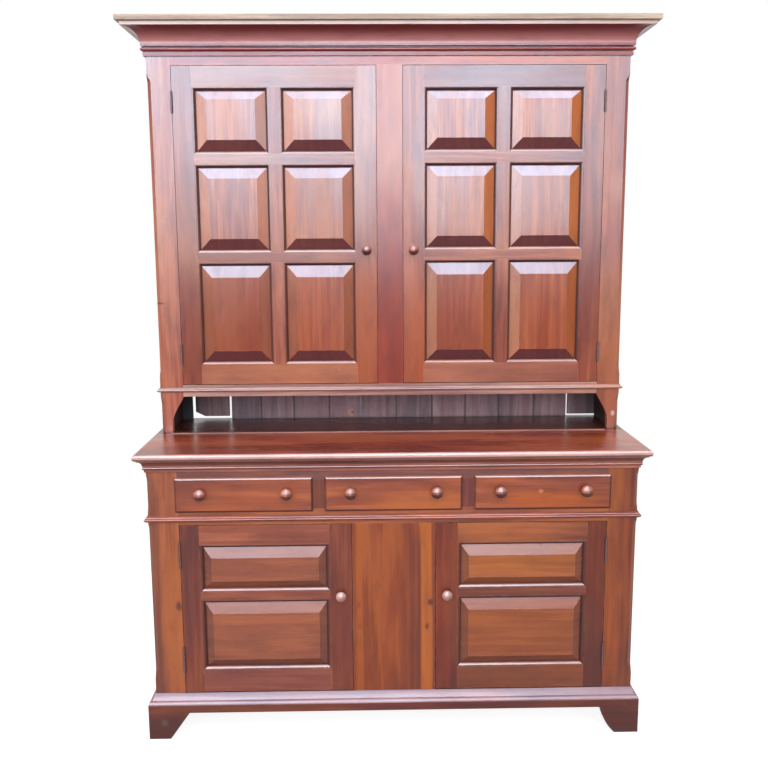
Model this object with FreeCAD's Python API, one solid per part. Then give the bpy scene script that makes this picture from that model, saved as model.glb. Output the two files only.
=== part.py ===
import FreeCAD, Part
import math
import os

# Step back cupboard in two cases. Millimetres, +Z up, the front faces -Y.
# X is measured from the middle, Z from the floor and Y from the face of the lower case;
# the export moves Y so that the origin lies under the middle of the whole piece.

Vec = FreeCAD.Vector
os.makedirs("parts", exist_ok=True)

# cases
lower_width = 1458.0
upper_oversail = 11.0
case_depth = 524.0
step_back = 284.0
side_thickness = 22.0
frame_thickness = 24.0
backboard_thickness = 14.0
shelf_thickness = 20.0
housing_depth = 8.0
rabbet_width = 11.0

# heights of the lower case, from the floor up
skirt_height = 84.0
case_underside = 87.0
base_board_top = 108.0
base_moulding_height = 32.0
door_foot_gap = 2.0
lower_door_height = 528.0
drawer_rail_height = 47.5
drawer_opening_height = 89.5
lower_top_rail_height = 64.0
lower_top_thickness = 20.0

# heights of the upper case, from the lower top up
gallery_height = 117.5
waist_rail_height = 38.0
upper_door_height = 981.0
frieze_height = 26.5
crown_height = 91.0
top_board_thickness = 14.5

# face frames
door_gap = 1.5
lower_stile_width = 90.0
upper_stile_width = 73.0
centre_stile_width = 80.0
centre_board_width = 250.0
divider_width = 51.0
middle_drawer_width = 392.0
chamfer_leg = 12.0
tongue_length = 26.0
tongue_step = 2.0
tongue_swell_share = 0.125
chamfer_above_waist_bead = 35.0
chamfer_below_crown = 53.0
chamfer_above_base = 50.0
chamfer_below_mid_bead = 2.0
chamfer_above_mid_bead = 4.0
chamfer_below_top_moulding = 6.0
foot_width = 35.0
foot_curve_drop = 95.0

# the curve's two inner poles, as shares of its run and of its drop
foot_curve_start_pull = (0.22, 0.26)
foot_curve_end_pull = (1.0, 0.53)

# tops and mouldings
lower_top_overhang = 31.0
nosing_radius = 8.5
top_board_overhang = 72.0
crown_reach = 60.0
crown_base_depth = 7.0
crown_base_height = 9.0
crown_bead_depth = 8.0
crown_bead_reach = 13.0
crown_bead_height = 10.0
crown_quirk_depth = 3.5
crown_quirk_height = 4.5
crown_fillet_height = 12.0
crown_fillet_reach = 4.0
cove_radius = 44.0
top_moulding_height = 37.5
top_moulding_reach = 22.0
fascia_depth = 4.0
fascia_height = 7.5
top_bead_reach = 8.5
top_bead_height = 9.0
top_cove_foot = 8.0
top_fillet_height = 3.0
mid_bead_height = 19.0
mid_bead_drop = 19.0
mid_bead_reach = 10.0
waist_bead_height = 16.0
waist_bead_lift = 14.0
waist_bead_reach = 9.5
bead_foot_slope = 2.0
base_board_thickness = 21.0
base_nose_height = 11.0
base_slope_inset = 2.5
sawn_foot_width = 65.0
sawn_foot_run = 60.0
hollow_foot_width = 73.0
hollow_foot_run = 45.0
side_foot_width = 95.0
foot_block_size = 40.0
locating_strip_depth = 8.0
locating_strip_height = 2.0
locating_strip_clear = 12.0
locating_strip_short = 12.0

# a small bead under a hollow, as shares of its reach and of its height
bead_foot = (0.6, 0.2)
bead_nose = (1.0, 0.4)
bead_quirk = (0.6, 0.6)
bead_hollow = (0.33, 0.68)
bead_neck = (0.25, 0.86)

# the middle of a hollow foot's edge, as shares of its run and of the skirt's height
foot_hollow = (0.6, 0.4)

# the slope of the base moulding, as a share of its height that its middle sags
base_slope_sag = 0.08

# doors
door_thickness = 22.0
sticking_width = 10.0
sticking_quirk = 1.2
sight_recess = 9.7
groove_depth = 8.0
groove_front = 10.0
panel_edge = 6.0
panel_play = 1.0
field_recess = 0.5
field_step = 1.0
upper_hinge_stile = 60.5
upper_lock_stile = 64.5
upper_top_rail_face = 62.0
upper_mid_rail_face = 29.5
upper_bottom_rail_face = 62.0
muntin_face = 34.0
muntin_from_lock_edge = 312.5
left_mid_rail_drops = [278.0, 579.5]
right_mid_rail_drops = [273.5, 573.5]
upper_top_margins = [26.0, 33.0, 37.0]
upper_low_margin = 34.0
upper_side_margin = 32.0
lower_hinge_stile = 57.0
lower_lock_stile = 65.5
lower_top_rail_face = 60.0
lower_mid_rail_face = 25.0
left_lower_rail_drop = 221.0
right_lower_rail_drop = 217.5
lower_bottom_rail_face = 70.0
lower_top_margins = [33.0, 35.0]
lower_low_margin = 23.0
lower_side_margin = 24.0

# hinges
upper_hinge_height = 64.0
upper_hinge_from_top = 75.0
upper_hinge_from_foot = 64.0
lower_hinge_height = 80.0
lower_hinge_from_top = 50.0
lower_hinge_from_foot = 64.0
pin_radius = 1.5
pin_play = 0.05
pin_head_radius = 2.6
pin_head_height = 1.2
knuckle_radius = 3.2
knuckle_play = 0.3
knuckle_count = 5
pin_stand_off = 3.6
leaf_thickness = 2.0
leaf_depth = 18.0
screw_head_radius = 3.2
screw_radius = 1.6
screw_length = 17.0
screw_edge = 9.0
screw_shares = [0.2, 0.5, 0.8]

# knobs
upper_knob_radius = 15.0
lower_knob_radius = 15.5
drawer_knob_radius = 17.5
door_knob_length = 30.0
drawer_knob_length = 31.0
spigot_radius = 6.0
upper_knob_lift = 423.0
lower_knob_drop = 221.0
drawer_knob_lift = 51.0
outer_knob_spacing = 254.0
middle_knob_spacing = 255.0

# a knob's outline, as shares of its radius and of its length
knob_foot = (0.58, 0.06)
knob_neck = (0.40, 0.20)
knob_swell = (0.62, 0.36)
knob_widest = (1.0, 0.60)
knob_rim = (0.80, 0.84)

# drawers
lip_overlap = 8.0
lip_thickness = 7.0
lip_curve_width = 9.0
lip_curve_depth = 5.0
drawer_front_depth = 15.0
drawer_side_play = 1.5
drawer_top_play = 2.0
drawer_foot_play = 0.5
drawer_side_thickness = 12.0
drawer_side_height = 80.0
drawer_back_thickness = 10.0
drawer_bottom_thickness = 8.0
drawer_bottom_lift = 8.0
drawer_groove = 5.0
drawer_box_depth = 445.0
dovetail_length = 9.0
dovetail_count = 3
dovetail_slope = 3.0
dovetail_share = 0.7
runner_height = 18.0
runner_ledge = 28.0
guide_set_back = 15.0

# shelves and boards
upper_shelf_set_back = 6.0
lower_shelf_lift = 256.0
lower_shelf_set_back = 16.0
lower_back_count = 10
lower_back_gap = 1.0
upper_back_widths = [45, 116, 102, 112, 122, 108, 122, 123, 115, 116, 120, 113, 104]
upper_back_gaps = [11, 8, 0.5, 0.5, 0.5, 0.5, 0.5, 0.5, 0.5, 0.5, 0.5, 6]
short_board_lifts = {1: 9.0, 12: 6.0}
broken_corner_run = 32.0
broken_corner_rise = 16.0
knot_hole_inset = 81.0
knot_hole_lift = 19.0
knot_hole_radius = 5.5
knot_hole_depth = 6.0
chip_width = 4.0
chip_height = 14.0
chip_depth = 8.0

trim = 1.0

half_lower = lower_width / 2
half_upper = half_lower + upper_oversail
lower_face = 0.0
upper_face = step_back
back_front = case_depth - backboard_thickness

base_top = base_board_top + base_moulding_height
lower_door_low = base_top + door_foot_gap
lower_door_high = lower_door_low + lower_door_height
drawer_rail_low = lower_door_high + door_gap
drawer_low = drawer_rail_low + drawer_rail_height
drawer_high = drawer_low + drawer_opening_height
lower_case_top = drawer_high + lower_top_rail_height
table_height = lower_case_top + lower_top_thickness

waist_rail_low = table_height + gallery_height
upper_floor_top = waist_rail_low + waist_rail_height
upper_door_low = upper_floor_top + door_foot_gap
upper_door_high = upper_door_low + upper_door_height
frieze_low = upper_door_high + door_gap
crown_low = frieze_low + frieze_height
upper_case_top = crown_low + crown_height
waist_bead_low = waist_rail_low + waist_bead_lift
mid_bead_low = drawer_low - mid_bead_drop - mid_bead_height
top_moulding_low = lower_case_top - top_moulding_height

upper_knob_height = upper_door_low + upper_knob_lift
lower_knob_height = lower_door_high - lower_knob_drop
drawer_knob_height = drawer_low + drawer_knob_lift

lower_opening = half_lower - lower_stile_width
upper_opening = half_upper - upper_stile_width
lower_inside = half_lower - side_thickness
upper_inside = half_upper - side_thickness
lower_door_outer = lower_opening - door_gap
lower_door_inner = centre_board_width / 2 + door_gap
upper_door_outer = upper_opening - door_gap
upper_door_inner = centre_stile_width / 2 + door_gap

drawer_face = lower_face - lip_thickness
front_reach = drawer_face - drawer_knob_length
centre_y = (front_reach + case_depth) / 2


def export(name, solids):
    shape = Part.makeCompound(solids) if len(solids) > 1 else solids[0].copy()
    shape.translate(Vec(0, -centre_y, 0))
    shape.exportStep("parts/" + name + ".step")


def block(x0, x1, y0, y1, z0, z1):
    low = Vec(min(x0, x1), min(y0, y1), min(z0, z1))
    return Part.makeBox(abs(x1 - x0), abs(y1 - y0), abs(z1 - z0), low)


# A closed face. Each step is (a, b), or (a_mid, b_mid, a, b) for an arc through a middle point.
def profile_face(steps, place):
    edges = []
    last = place(*steps[-1][-2:])
    for step in steps:
        point = place(*step[-2:])
        if len(step) == 4:
            edges.append(Part.Arc(last, place(*step[:2]), point).toShape())
        else:
            edges.append(Part.makeLine(last, point))
        last = point
    return Part.Face(Part.Wire(edges))


def front_block(steps, y0, y1):
    return profile_face(steps, lambda x, z: Vec(x, y0, z)).extrude(Vec(0, y1 - y0, 0))


def side_block(steps, x0, x1):
    return profile_face(steps, lambda y, z: Vec(x0, y, z)).extrude(Vec(x1 - x0, 0, 0))


def plan_block(steps, z0, z1):
    return profile_face(steps, lambda x, y: Vec(x, y, z0)).extrude(Vec(0, 0, z1 - z0))


def join(solids):
    return solids[0].multiFuse(solids[1:]).removeSplitter() if len(solids) > 1 else solids[0]


# A moulding round the front and both sides of a case, mitred at the two front corners.
# The steps are (projection, height).
def mitred_moulding(steps, half_width, face_y):
    reach = max(max(step[0::2]) for step in steps) + trim
    low = min(step[-1] for step in steps) - trim
    high = max(step[-1] for step in steps) + trim
    outer = half_width + reach
    front_y = face_y - reach
    bar = profile_face(steps, lambda p, z: Vec(-outer, face_y - p, z)).extrude(Vec(2 * outer, 0, 0))
    corners = [(-half_width, face_y), (half_width, face_y), (outer, front_y), (-outer, front_y)]
    runs = [bar.common(plan_block(corners, low, high))]
    for side in (-1, 1):
        inner = side * half_width
        start = profile_face(steps, lambda p, z: Vec(inner + side * p, front_y, z))
        bar = start.extrude(Vec(0, case_depth - front_y, 0))
        corners = [(inner, face_y), (side * outer, front_y), (side * outer, case_depth),
                   (inner, case_depth)]
        runs.append(bar.common(plan_block(corners, low, high)))
    return runs


# The waste of a stopped chamfer on an outer front corner. Its ends run out in lamb's tongues.
def chamfer_waste(side, half_width, face_y, z0, z1, stop_low=True):
    depth = chamfer_leg / math.sqrt(2)
    rise = depth - tongue_step
    swell = rise * tongue_swell_share
    low = z0 if stop_low else z0 - tongue_length
    steps = [(-depth, z1), (tongue_step, z1)]
    middle = tongue_step + rise / 2
    quarter = tongue_length / 4
    steps.append((tongue_step + rise / 4 - swell, z1 - quarter, middle, z1 - 2 * quarter))
    steps.append((depth - rise / 4 + swell, z1 - 3 * quarter, depth, z1 - tongue_length))
    steps.append((depth, low + tongue_length))
    if stop_low:
        steps.append((depth - rise / 4 + swell, low + 3 * quarter, middle, low + 2 * quarter))
        steps.append((tongue_step + rise / 4 - swell, low + quarter, tongue_step, low))
    else:
        steps.append((depth, low))
    steps.append((-depth, low))
    inward = Vec(-side, 1, 0).normalize()
    along = Vec(side, 1, 0).normalize()
    corner = Vec(side * half_width, face_y, 0) - along * chamfer_leg * 2
    face = profile_face(steps, lambda d, z: corner + inward * d + Vec(0, 0, z))
    return face.extrude(along * chamfer_leg * 4)


# Hinges

# A countersunk screw that enters a vertical edge at x, pointing along toward.
def screw(x, y, z, toward):
    base = Vec(x, y, z)
    axis = Vec(toward, 0, 0)
    head = Part.makeCone(screw_head_radius, screw_radius, leaf_thickness, base, axis)
    shank = Part.makeCylinder(screw_radius, screw_length, base, axis)
    return join([head, shank])


# A butt hinge. Its pin stands in front of the face, in the middle of the door's gap.
def butt_hinge(side, opening, face_y, low, height):
    pin_x = side * (opening - door_gap / 2)
    pin_y = face_y - pin_stand_off
    up = Vec(0, 0, 1)
    pin = join([
        Part.makeCylinder(pin_radius, height, Vec(pin_x, pin_y, low), up),
        Part.makeCylinder(pin_head_radius, pin_head_height, Vec(pin_x, pin_y, low - pin_head_height), up),
        Part.makeCylinder(pin_head_radius, pin_head_height, Vec(pin_x, pin_y, low + height), up)])
    step = height / knuckle_count
    hinge = {"pin": pin}
    for name, outward, first in (("case", side, 0), ("door", -side, 1)):
        seat = pin_x + outward * door_gap / 2
        web_end = seat + outward * leaf_thickness
        plate = block(seat, web_end, face_y, face_y + leaf_depth, low, low + height)
        pieces = [plate]
        for index in range(first, knuckle_count, 2):
            z0 = low + index * step + knuckle_play / 2
            z1 = low + (index + 1) * step - knuckle_play / 2
            pieces.append(block(seat, web_end, pin_y, face_y, z0, z1))
            pieces.append(Part.makeCylinder(knuckle_radius, z1 - z0, Vec(pin_x, pin_y, z0), up))
        bore = Part.makeCylinder(pin_radius + pin_play, height, Vec(pin_x, pin_y, low), up)
        leaf = join(pieces).cut(bore)
        screws = []
        for share in screw_shares:
            screws.append(screw(seat, face_y + screw_edge, low + share * height, outward))
        for fastener in screws:
            leaf = leaf.cut(fastener)
        hinge[name + "_leaf"] = leaf
        hinge[name + "_screws"] = screws
        hinge[name + "_seat"] = plate
    return hinge


def upper_hinges(side):
    lows = (upper_door_high - upper_hinge_from_top - upper_hinge_height,
            upper_door_low + upper_hinge_from_foot)
    return [butt_hinge(side, upper_opening, upper_face, low, upper_hinge_height) for low in lows]


def lower_hinges(side):
    lows = (lower_door_high - lower_hinge_from_top - lower_hinge_height,
            lower_door_low + lower_hinge_from_foot)
    return [butt_hinge(side, lower_opening, lower_face, low, lower_hinge_height) for low in lows]


# Cuts the leaves' mortises and the screws' holes in the wood that carries them.
def let_in(wood, hinges, name):
    for hinge in hinges:
        wood = wood.cut(hinge[name + "_seat"])
        for fastener in hinge[name + "_screws"]:
            wood = wood.cut(fastener)
    return wood


def hinge_pieces(hinges, name):
    pieces = []
    for hinge in hinges:
        pieces.append(hinge[name + "_leaf"])
        pieces.extend(hinge[name + "_screws"])
    return pieces


# Knobs

# A turned knob with a spigot that goes through the wood behind it. Its crown is a part of
# a sphere centred on the knob's own axis.
def knob(radius, length, spigot, x, face_y, z):
    shares = (knob_foot, knob_neck, knob_swell, knob_widest, knob_rim)
    foot, neck, swell, widest, rim = [(wide * radius, out * length) for wide, out in shares]
    rise = length - rim[1]
    crown_radius = (rim[0] * rim[0] + rise * rise) / (2 * rise)
    bend = math.asin(rim[0] / crown_radius) / 2
    crown_middle = (crown_radius * math.sin(bend), length - crown_radius * (1 - math.cos(bend)))
    steps = [(0, -spigot), (spigot_radius, -spigot), (spigot_radius, 0), (foot[0], 0), foot,
             neck + swell, widest + rim, crown_middle + (0, length)]
    face = profile_face(steps, lambda r, out: Vec(x + r, face_y - out, z))
    return face.revolve(Vec(x, 0, z), Vec(0, 1, 0), 360)


def spigot_hole(x, face_y, z, depth):
    return Part.makeCylinder(spigot_radius, depth, Vec(x, face_y, z), Vec(0, 1, 0))


# Framed doors

# The four mitred strips of moulded edge round one panel opening, keyed by where they lie.
def sticking(x0, x1, z0, z1, face_y):
    radius = sight_recess - sticking_quirk
    near = radius * (1 - math.sqrt(0.5))
    steps = [(0, door_thickness), (0, sight_recess),
             (near, sticking_quirk + near, radius, sticking_quirk),
             (sticking_width, sticking_quirk), (sticking_width, door_thickness)]
    ends = {
        "left": (Vec(x0, 0, z0), Vec(x0, 0, z1), Vec(-1, 0, 0)),
        "right": (Vec(x1, 0, z0), Vec(x1, 0, z1), Vec(1, 0, 0)),
        "below": (Vec(x0, 0, z0), Vec(x1, 0, z0), Vec(0, 0, -1)),
        "above": (Vec(x0, 0, z1), Vec(x1, 0, z1), Vec(0, 0, 1))}
    strips = {}
    for name, (start, end, outward) in ends.items():
        along = (end - start).normalize()
        first = start - along * sticking_width + Vec(0, face_y, 0)
        face = profile_face(steps, lambda e, d: first + outward * e + Vec(0, d, 0))
        bar = face.extrude(end - start + along * 2 * sticking_width)
        far_start = start + (outward - along) * sticking_width
        far_end = end + (outward + along) * sticking_width
        corners = [(point.x, point.z) for point in (start, end, far_end, far_start)]
        strips[name] = bar.common(front_block(corners, face_y, face_y + door_thickness))
    return strips


# A solid between two upright rectangles (x0, x1, z0, z1) at the depths y0 and y1.
def tapered_block(rear, y0, front, y1):
    def corners(rect, y):
        x0, x1, z0, z1 = rect
        return [Vec(x0, y, z0), Vec(x1, y, z0), Vec(x1, y, z1), Vec(x0, y, z1)]

    a = corners(rear, y0)
    b = corners(front, y1)
    faces = [Part.Face(Part.makePolygon(a + [a[0]])), Part.Face(Part.makePolygon(b + [b[0]]))]
    for i in range(4):
        j = (i + 1) % 4
        faces.append(Part.Face(Part.makePolygon([a[i], a[j], b[j], b[i], a[i]])))
    solid = Part.makeSolid(Part.makeShell(faces))
    return solid if solid.Volume > 0 else solid.reversed()


def raised_panel(x0, x1, z0, z1, face_y, low_margin, top_margin, side_margin):
    edge = groove_depth - panel_play
    rear = face_y + groove_front + panel_edge
    front = face_y + groove_front
    field = (x0 + side_margin, x1 - side_margin, z0 + low_margin, z1 - top_margin)
    step_y = face_y + field_recess + field_step
    return join([
        block(x0 - edge, x1 + edge, front, rear, z0 - edge, z1 + edge),
        tapered_block((x0, x1, z0, z1), front, field, step_y),
        block(field[0], field[1], face_y + field_recess, step_y, field[2], field[3])])


# A framed door with raised panels. Columns and rows are the openings seen between the
# moulded edges, columns from the lock side outwards and rows from the top down.
def framed_door(side, face_y, inner, outer, low, high, columns, rows, margins, hinges, knob_z):
    back_y = face_y + door_thickness
    top_margins, low_margin, side_margin = margins
    w = sticking_width
    lock_flat = columns[0][0] - w
    hinge_flat = columns[-1][1] + w
    toward_centre, toward_hinge = ("left", "right") if side > 0 else ("right", "left")

    def piece(x0, x1, z0, z1):
        return [block(side * x0, side * x1, face_y, back_y, z0, z1)]

    stiles = {"lock": piece(inner, lock_flat, low, high), "hinge": piece(hinge_flat, outer, low, high)}
    levels = [high] + [level for row in rows for level in (row[1] + w, row[0] - w)] + [low]
    rails = [piece(lock_flat, hinge_flat, levels[i + 1], levels[i]) for i in range(0, len(levels), 2)]
    muntins = {}
    panels = []
    grooves = []
    for r, (z0, z1) in enumerate(rows):
        for c in range(len(columns) - 1):
            muntins[r, c] = piece(columns[c][1] + w, columns[c + 1][0] - w, z0 - w, z1 + w)
        for c, column in enumerate(columns):
            x0, x1 = sorted((side * column[0], side * column[1]))
            strips = sticking(x0, x1, z0, z1, face_y)
            rails[r].append(strips["above"])
            rails[r + 1].append(strips["below"])
            on_lock_side = stiles["lock"] if c == 0 else muntins[r, c - 1]
            on_hinge_side = stiles["hinge"] if c == len(columns) - 1 else muntins[r, c]
            on_lock_side.append(strips[toward_centre])
            on_hinge_side.append(strips[toward_hinge])
            panels.append(raised_panel(x0, x1, z0, z1, face_y, low_margin, top_margins[r], side_margin))
            grooves.append(block(x0 - groove_depth, x1 + groove_depth, face_y + groove_front,
                                 face_y + groove_front + panel_edge, z0 - groove_depth, z1 + groove_depth))
    waste = Part.makeCompound(grooves)
    hinge_stile = let_in(join(stiles["hinge"]).cut(waste), hinges, "door")
    knob_x = side * (inner + lock_flat) / 2
    lock_stile = join(stiles["lock"]).cut(waste).cut(spigot_hole(knob_x, face_y, knob_z, door_thickness))
    short_stiles = [join(pieces).cut(waste) for pieces in muntins.values()]
    cross_rails = [join(pieces).cut(waste) for pieces in rails]
    return {"stiles": [hinge_stile, lock_stile] + short_stiles, "rails": cross_rails,
            "panels": panels, "knob_x": knob_x}


def export_door(name, door, hinges, radius, face_y, knob_z):
    export(name + "_stiles", door["stiles"])
    export(name + "_rails", door["rails"])
    export(name + "_panels", door["panels"])
    export(name + "_knob", [knob(radius, door_knob_length, door_thickness, door["knob_x"], face_y, knob_z)])
    export(name + "_hinge_leaves", hinge_pieces(hinges, "door"))


def upper_door(side, hinges, rail_drops):
    mid_rails = [upper_door_high - drop for drop in rail_drops]
    muntin_centre = upper_door_inner + muntin_from_lock_edge
    outer_sight = upper_door_outer - upper_hinge_stile - sticking_width
    inner_sight = upper_door_inner + upper_lock_stile + sticking_width
    half_muntin = muntin_face / 2 + sticking_width
    columns = [(inner_sight, muntin_centre - half_muntin), (muntin_centre + half_muntin, outer_sight)]
    half_rail = upper_mid_rail_face / 2 + sticking_width
    top = upper_door_high - upper_top_rail_face - sticking_width
    bottom = upper_door_low + upper_bottom_rail_face + sticking_width
    rows = [(mid_rails[0] + half_rail, top), (mid_rails[1] + half_rail, mid_rails[0] - half_rail),
            (bottom, mid_rails[1] - half_rail)]
    margins = (upper_top_margins, upper_low_margin, upper_side_margin)
    return framed_door(side, upper_face, upper_door_inner, upper_door_outer, upper_door_low,
                       upper_door_high, columns, rows, margins, hinges, upper_knob_height)


def lower_door(side, hinges, rail_drop):
    columns = [(lower_door_inner + lower_lock_stile + sticking_width,
                lower_door_outer - lower_hinge_stile - sticking_width)]
    half_rail = lower_mid_rail_face / 2 + sticking_width
    lower_mid_rail = lower_door_high - rail_drop
    top = lower_door_high - lower_top_rail_face - sticking_width
    bottom = lower_door_low + lower_bottom_rail_face + sticking_width
    rows = [(lower_mid_rail + half_rail, top), (bottom, lower_mid_rail - half_rail)]
    margins = (lower_top_margins, lower_low_margin, lower_side_margin)
    return framed_door(side, lower_face, lower_door_inner, lower_door_outer, lower_door_low,
                       lower_door_high, columns, rows, margins, hinges, lower_knob_height)


# Drawers

# The waste in front of the lip's rounded edge, for an edge that lies at (x, z).
def lip_waste(x0, x1, z0, z1):
    shoulder = lip_thickness - lip_curve_depth
    bend = 1 - math.sqrt(0.5)
    steps = [(-trim, shoulder), (0, shoulder),
             (lip_curve_width * bend, shoulder + lip_curve_depth * (1 - bend),
              lip_curve_width, lip_thickness),
             (lip_curve_width, lip_thickness + trim), (-trim, lip_thickness + trim)]
    wastes = []
    for x, inward in ((x0, 1), (x1, -1)):
        face = profile_face(steps, lambda a, out: Vec(x + inward * a, lower_face - out, z0 - trim))
        wastes.append(face.extrude(Vec(0, 0, z1 - z0 + 2 * trim)))
    for z, inward in ((z0, 1), (z1, -1)):
        face = profile_face(steps, lambda a, out: Vec(x0 - trim, lower_face - out, z + inward * a))
        wastes.append(face.extrude(Vec(x1 - x0 + 2 * trim, 0, 0)))
    return wastes


# Dovetail pins' counterparts: the tails on a drawer side, which widen towards the front.
def tails(x0, x1, low, high):
    pitch = (high - low) / dovetail_count
    wide = pitch * dovetail_share
    solids = []
    for index in range(dovetail_count):
        z = low + (index + 0.5) * pitch
        rear = drawer_front_depth
        front = drawer_front_depth - dovetail_length
        narrow = wide / 2 - dovetail_slope
        steps = [(rear, z - narrow), (rear, z + narrow), (front, z + wide / 2), (front, z - wide / 2)]
        solids.append(side_block(steps, x0, x1))
    return solids


def build_drawer(name, x0, x1, knob_spacing):
    left = x0 + drawer_side_play
    right = x1 - drawer_side_play
    lip = (x0 - lip_overlap, x1 + lip_overlap, drawer_low - lip_overlap, drawer_high + lip_overlap)
    plate = block(lip[0], lip[1], drawer_face, lower_face, lip[2], lip[3])
    for waste in lip_waste(*lip):
        plate = plate.cut(waste)
    body = block(left, right, lower_face, drawer_front_depth, drawer_low + drawer_foot_play,
                 drawer_high - drawer_top_play)
    front = join([plate, body])
    box_back = drawer_front_depth + drawer_box_depth
    side_top = drawer_low + drawer_side_height
    bottom_low = drawer_low + drawer_bottom_lift
    bottom_high = bottom_low + drawer_bottom_thickness
    inner_left = left + drawer_side_thickness
    inner_right = right - drawer_side_thickness
    bottom = block(inner_left - drawer_groove, inner_right + drawer_groove,
                   drawer_front_depth - drawer_groove, box_back, bottom_low, bottom_high)
    sides = []
    for outer, inner in ((left, inner_left), (right, inner_right)):
        board = block(outer, inner, drawer_front_depth, box_back, drawer_low, side_top)
        joint = tails(outer, inner, bottom_high, side_top)
        for tail in joint:
            front = front.cut(tail)
        sides.append(join([board] + joint).cut(bottom))
    back = block(inner_left, inner_right, box_back - drawer_back_thickness, box_back, bottom_high, side_top)
    front = front.cut(bottom)
    middle = (x0 + x1) / 2
    knobs = []
    spigot = lip_thickness + drawer_front_depth
    for x in (middle - knob_spacing / 2, middle + knob_spacing / 2):
        front = front.cut(spigot_hole(x, drawer_face, drawer_knob_height, spigot))
        knobs.append(knob(drawer_knob_radius, drawer_knob_length, spigot, x, drawer_face, drawer_knob_height))
    export(name + "_front", [front])
    export(name + "_box", sides + [back, bottom])
    export(name + "_knobs", knobs)


# Lower case

def rabbeted_side(side, half_width, face_y, low, high, boards):
    inner = half_width - side_thickness
    solid = block(side * inner, side * half_width, face_y + frame_thickness, case_depth, low, high)
    rabbet = block(side * inner, side * (inner + rabbet_width), back_front, case_depth, low, high)
    solid = solid.cut(rabbet)
    for board in boards:
        solid = solid.cut(board)
    return solid


def housed_board(half_inside, y0, z0, z1):
    reach = half_inside + housing_depth
    return block(-reach, reach, y0, back_front, z0, z1)


def base_boards():
    outer = half_lower + base_board_thickness
    front_y = lower_face - base_board_thickness
    hollow_run = foot_hollow[0] * hollow_foot_run
    hollow_rise = foot_hollow[1] * skirt_height
    # the left foot is sawn straight and the right one is hollowed
    sawn_x = sawn_foot_width - outer
    foot_x = outer - hollow_foot_width
    outline = [(-outer, 0), (sawn_x, 0), (sawn_x + sawn_foot_run, skirt_height),
               (foot_x - hollow_foot_run, skirt_height), (foot_x - hollow_run, hollow_rise, foot_x, 0),
               (outer, 0), (outer, base_board_top), (-outer, base_board_top)]
    front = front_block(outline, front_y, lower_face)
    corners = [(-half_lower, lower_face), (half_lower, lower_face), (outer, front_y), (-outer, front_y)]
    boards = [front.common(plan_block(corners, 0, base_board_top))]
    near = front_y + side_foot_width
    far = case_depth - side_foot_width
    outline = [(front_y, 0), (near, 0),
               (near + hollow_run, hollow_rise, near + hollow_foot_run, skirt_height),
               (far - hollow_foot_run, skirt_height), (far - hollow_run, hollow_rise, far, 0),
               (case_depth, 0), (case_depth, base_board_top), (front_y, base_board_top)]
    for side in (-1, 1):
        board = side_block(outline, side * half_lower, side * outer)
        corners = [(side * half_lower, lower_face), (side * outer, front_y), (side * outer, case_depth),
                   (side * half_lower, case_depth)]
        boards.append(board.common(plan_block(corners, 0, base_board_top)))
    return boards


# A rounded nose over the base boards under a slope that sags a little.
def base_moulding():
    nose_top = base_board_top + base_nose_height
    half_bend = base_nose_height * (1 - math.sqrt(0.5))
    slope_out = base_board_thickness - base_nose_height
    sag = base_slope_sag * (base_top - nose_top)
    middle = ((slope_out + base_slope_inset) / 2, (nose_top + base_top) / 2 - sag)
    steps = [(0, base_board_top), (base_board_thickness, base_board_top),
             (base_board_thickness - half_bend, nose_top - half_bend, slope_out, nose_top),
             middle + (base_slope_inset, base_top), (0, base_top)]
    return mitred_moulding(steps, half_lower, lower_face)


def foot_blocks():
    blocks = []
    for side in (-1, 1):
        x0 = side * (half_lower - foot_block_size)
        for y0 in (lower_face, case_depth - foot_block_size):
            blocks.append(block(x0, side * half_lower, y0, y0 + foot_block_size, 0, case_underside))
    return blocks


def top_moulding():
    top = lower_case_top
    low = top_moulding_low
    bead_low = low + fascia_height
    bead_high = bead_low + top_bead_height
    cove_top = top - top_fillet_height
    bend = 1 - math.sqrt(0.5)
    steps = [(0, low), (fascia_depth, low), (fascia_depth, bead_low),
             (top_bead_reach, (bead_low + bead_high) / 2, fascia_depth, bead_high),
             (top_cove_foot, bead_high),
             (top_cove_foot + (top_moulding_reach - top_cove_foot) * bend,
              cove_top - (cove_top - bead_high) * bend, top_moulding_reach, cove_top),
             (top_moulding_reach, top), (0, top)]
    return mitred_moulding(steps, half_lower, lower_face)


# A small bead under a hollow, as on the waist and under the drawers.
def bead_steps(low, height, reach):
    shares = (bead_foot, bead_nose, bead_quirk, bead_hollow, bead_neck)
    foot, nose, quirk, hollow, neck = [(out * reach, low + up * height) for out, up in shares]
    return [(0, low), (foot[0], low + bead_foot_slope), foot, nose + quirk, hollow + neck,
            (neck[0], low + height), (0, low + height)]


def lower_top():
    overhang = lower_top_overhang
    slab = block(-half_lower - overhang, half_lower + overhang, lower_face - overhang, case_depth,
                 lower_case_top, table_height)
    edges = []
    for edge in slab.Edges:
        middle = edge.CenterOfMass
        level = abs(edge.BoundBox.ZLength) < trim / 2
        if level and middle.y < case_depth - trim:
            edges.append(edge)
    return slab.makeFillet(nosing_radius, edges)


def lower_stile(side, hinges):
    solid = block(side * lower_opening, side * half_lower, lower_face, frame_thickness,
                  case_underside, lower_case_top)
    zones = [(base_top + chamfer_above_base, mid_bead_low - chamfer_below_mid_bead),
             (mid_bead_low + mid_bead_height + chamfer_above_mid_bead,
              top_moulding_low - chamfer_below_top_moulding)]
    for low, high in zones:
        solid = solid.cut(chamfer_waste(side, half_lower, lower_face, low, high))
    return let_in(solid, hinges, "case")


def vertical_boards(edges, low, high):
    return [block(x0, x1, back_front, case_depth, low, high) for x0, x1 in edges]


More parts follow.
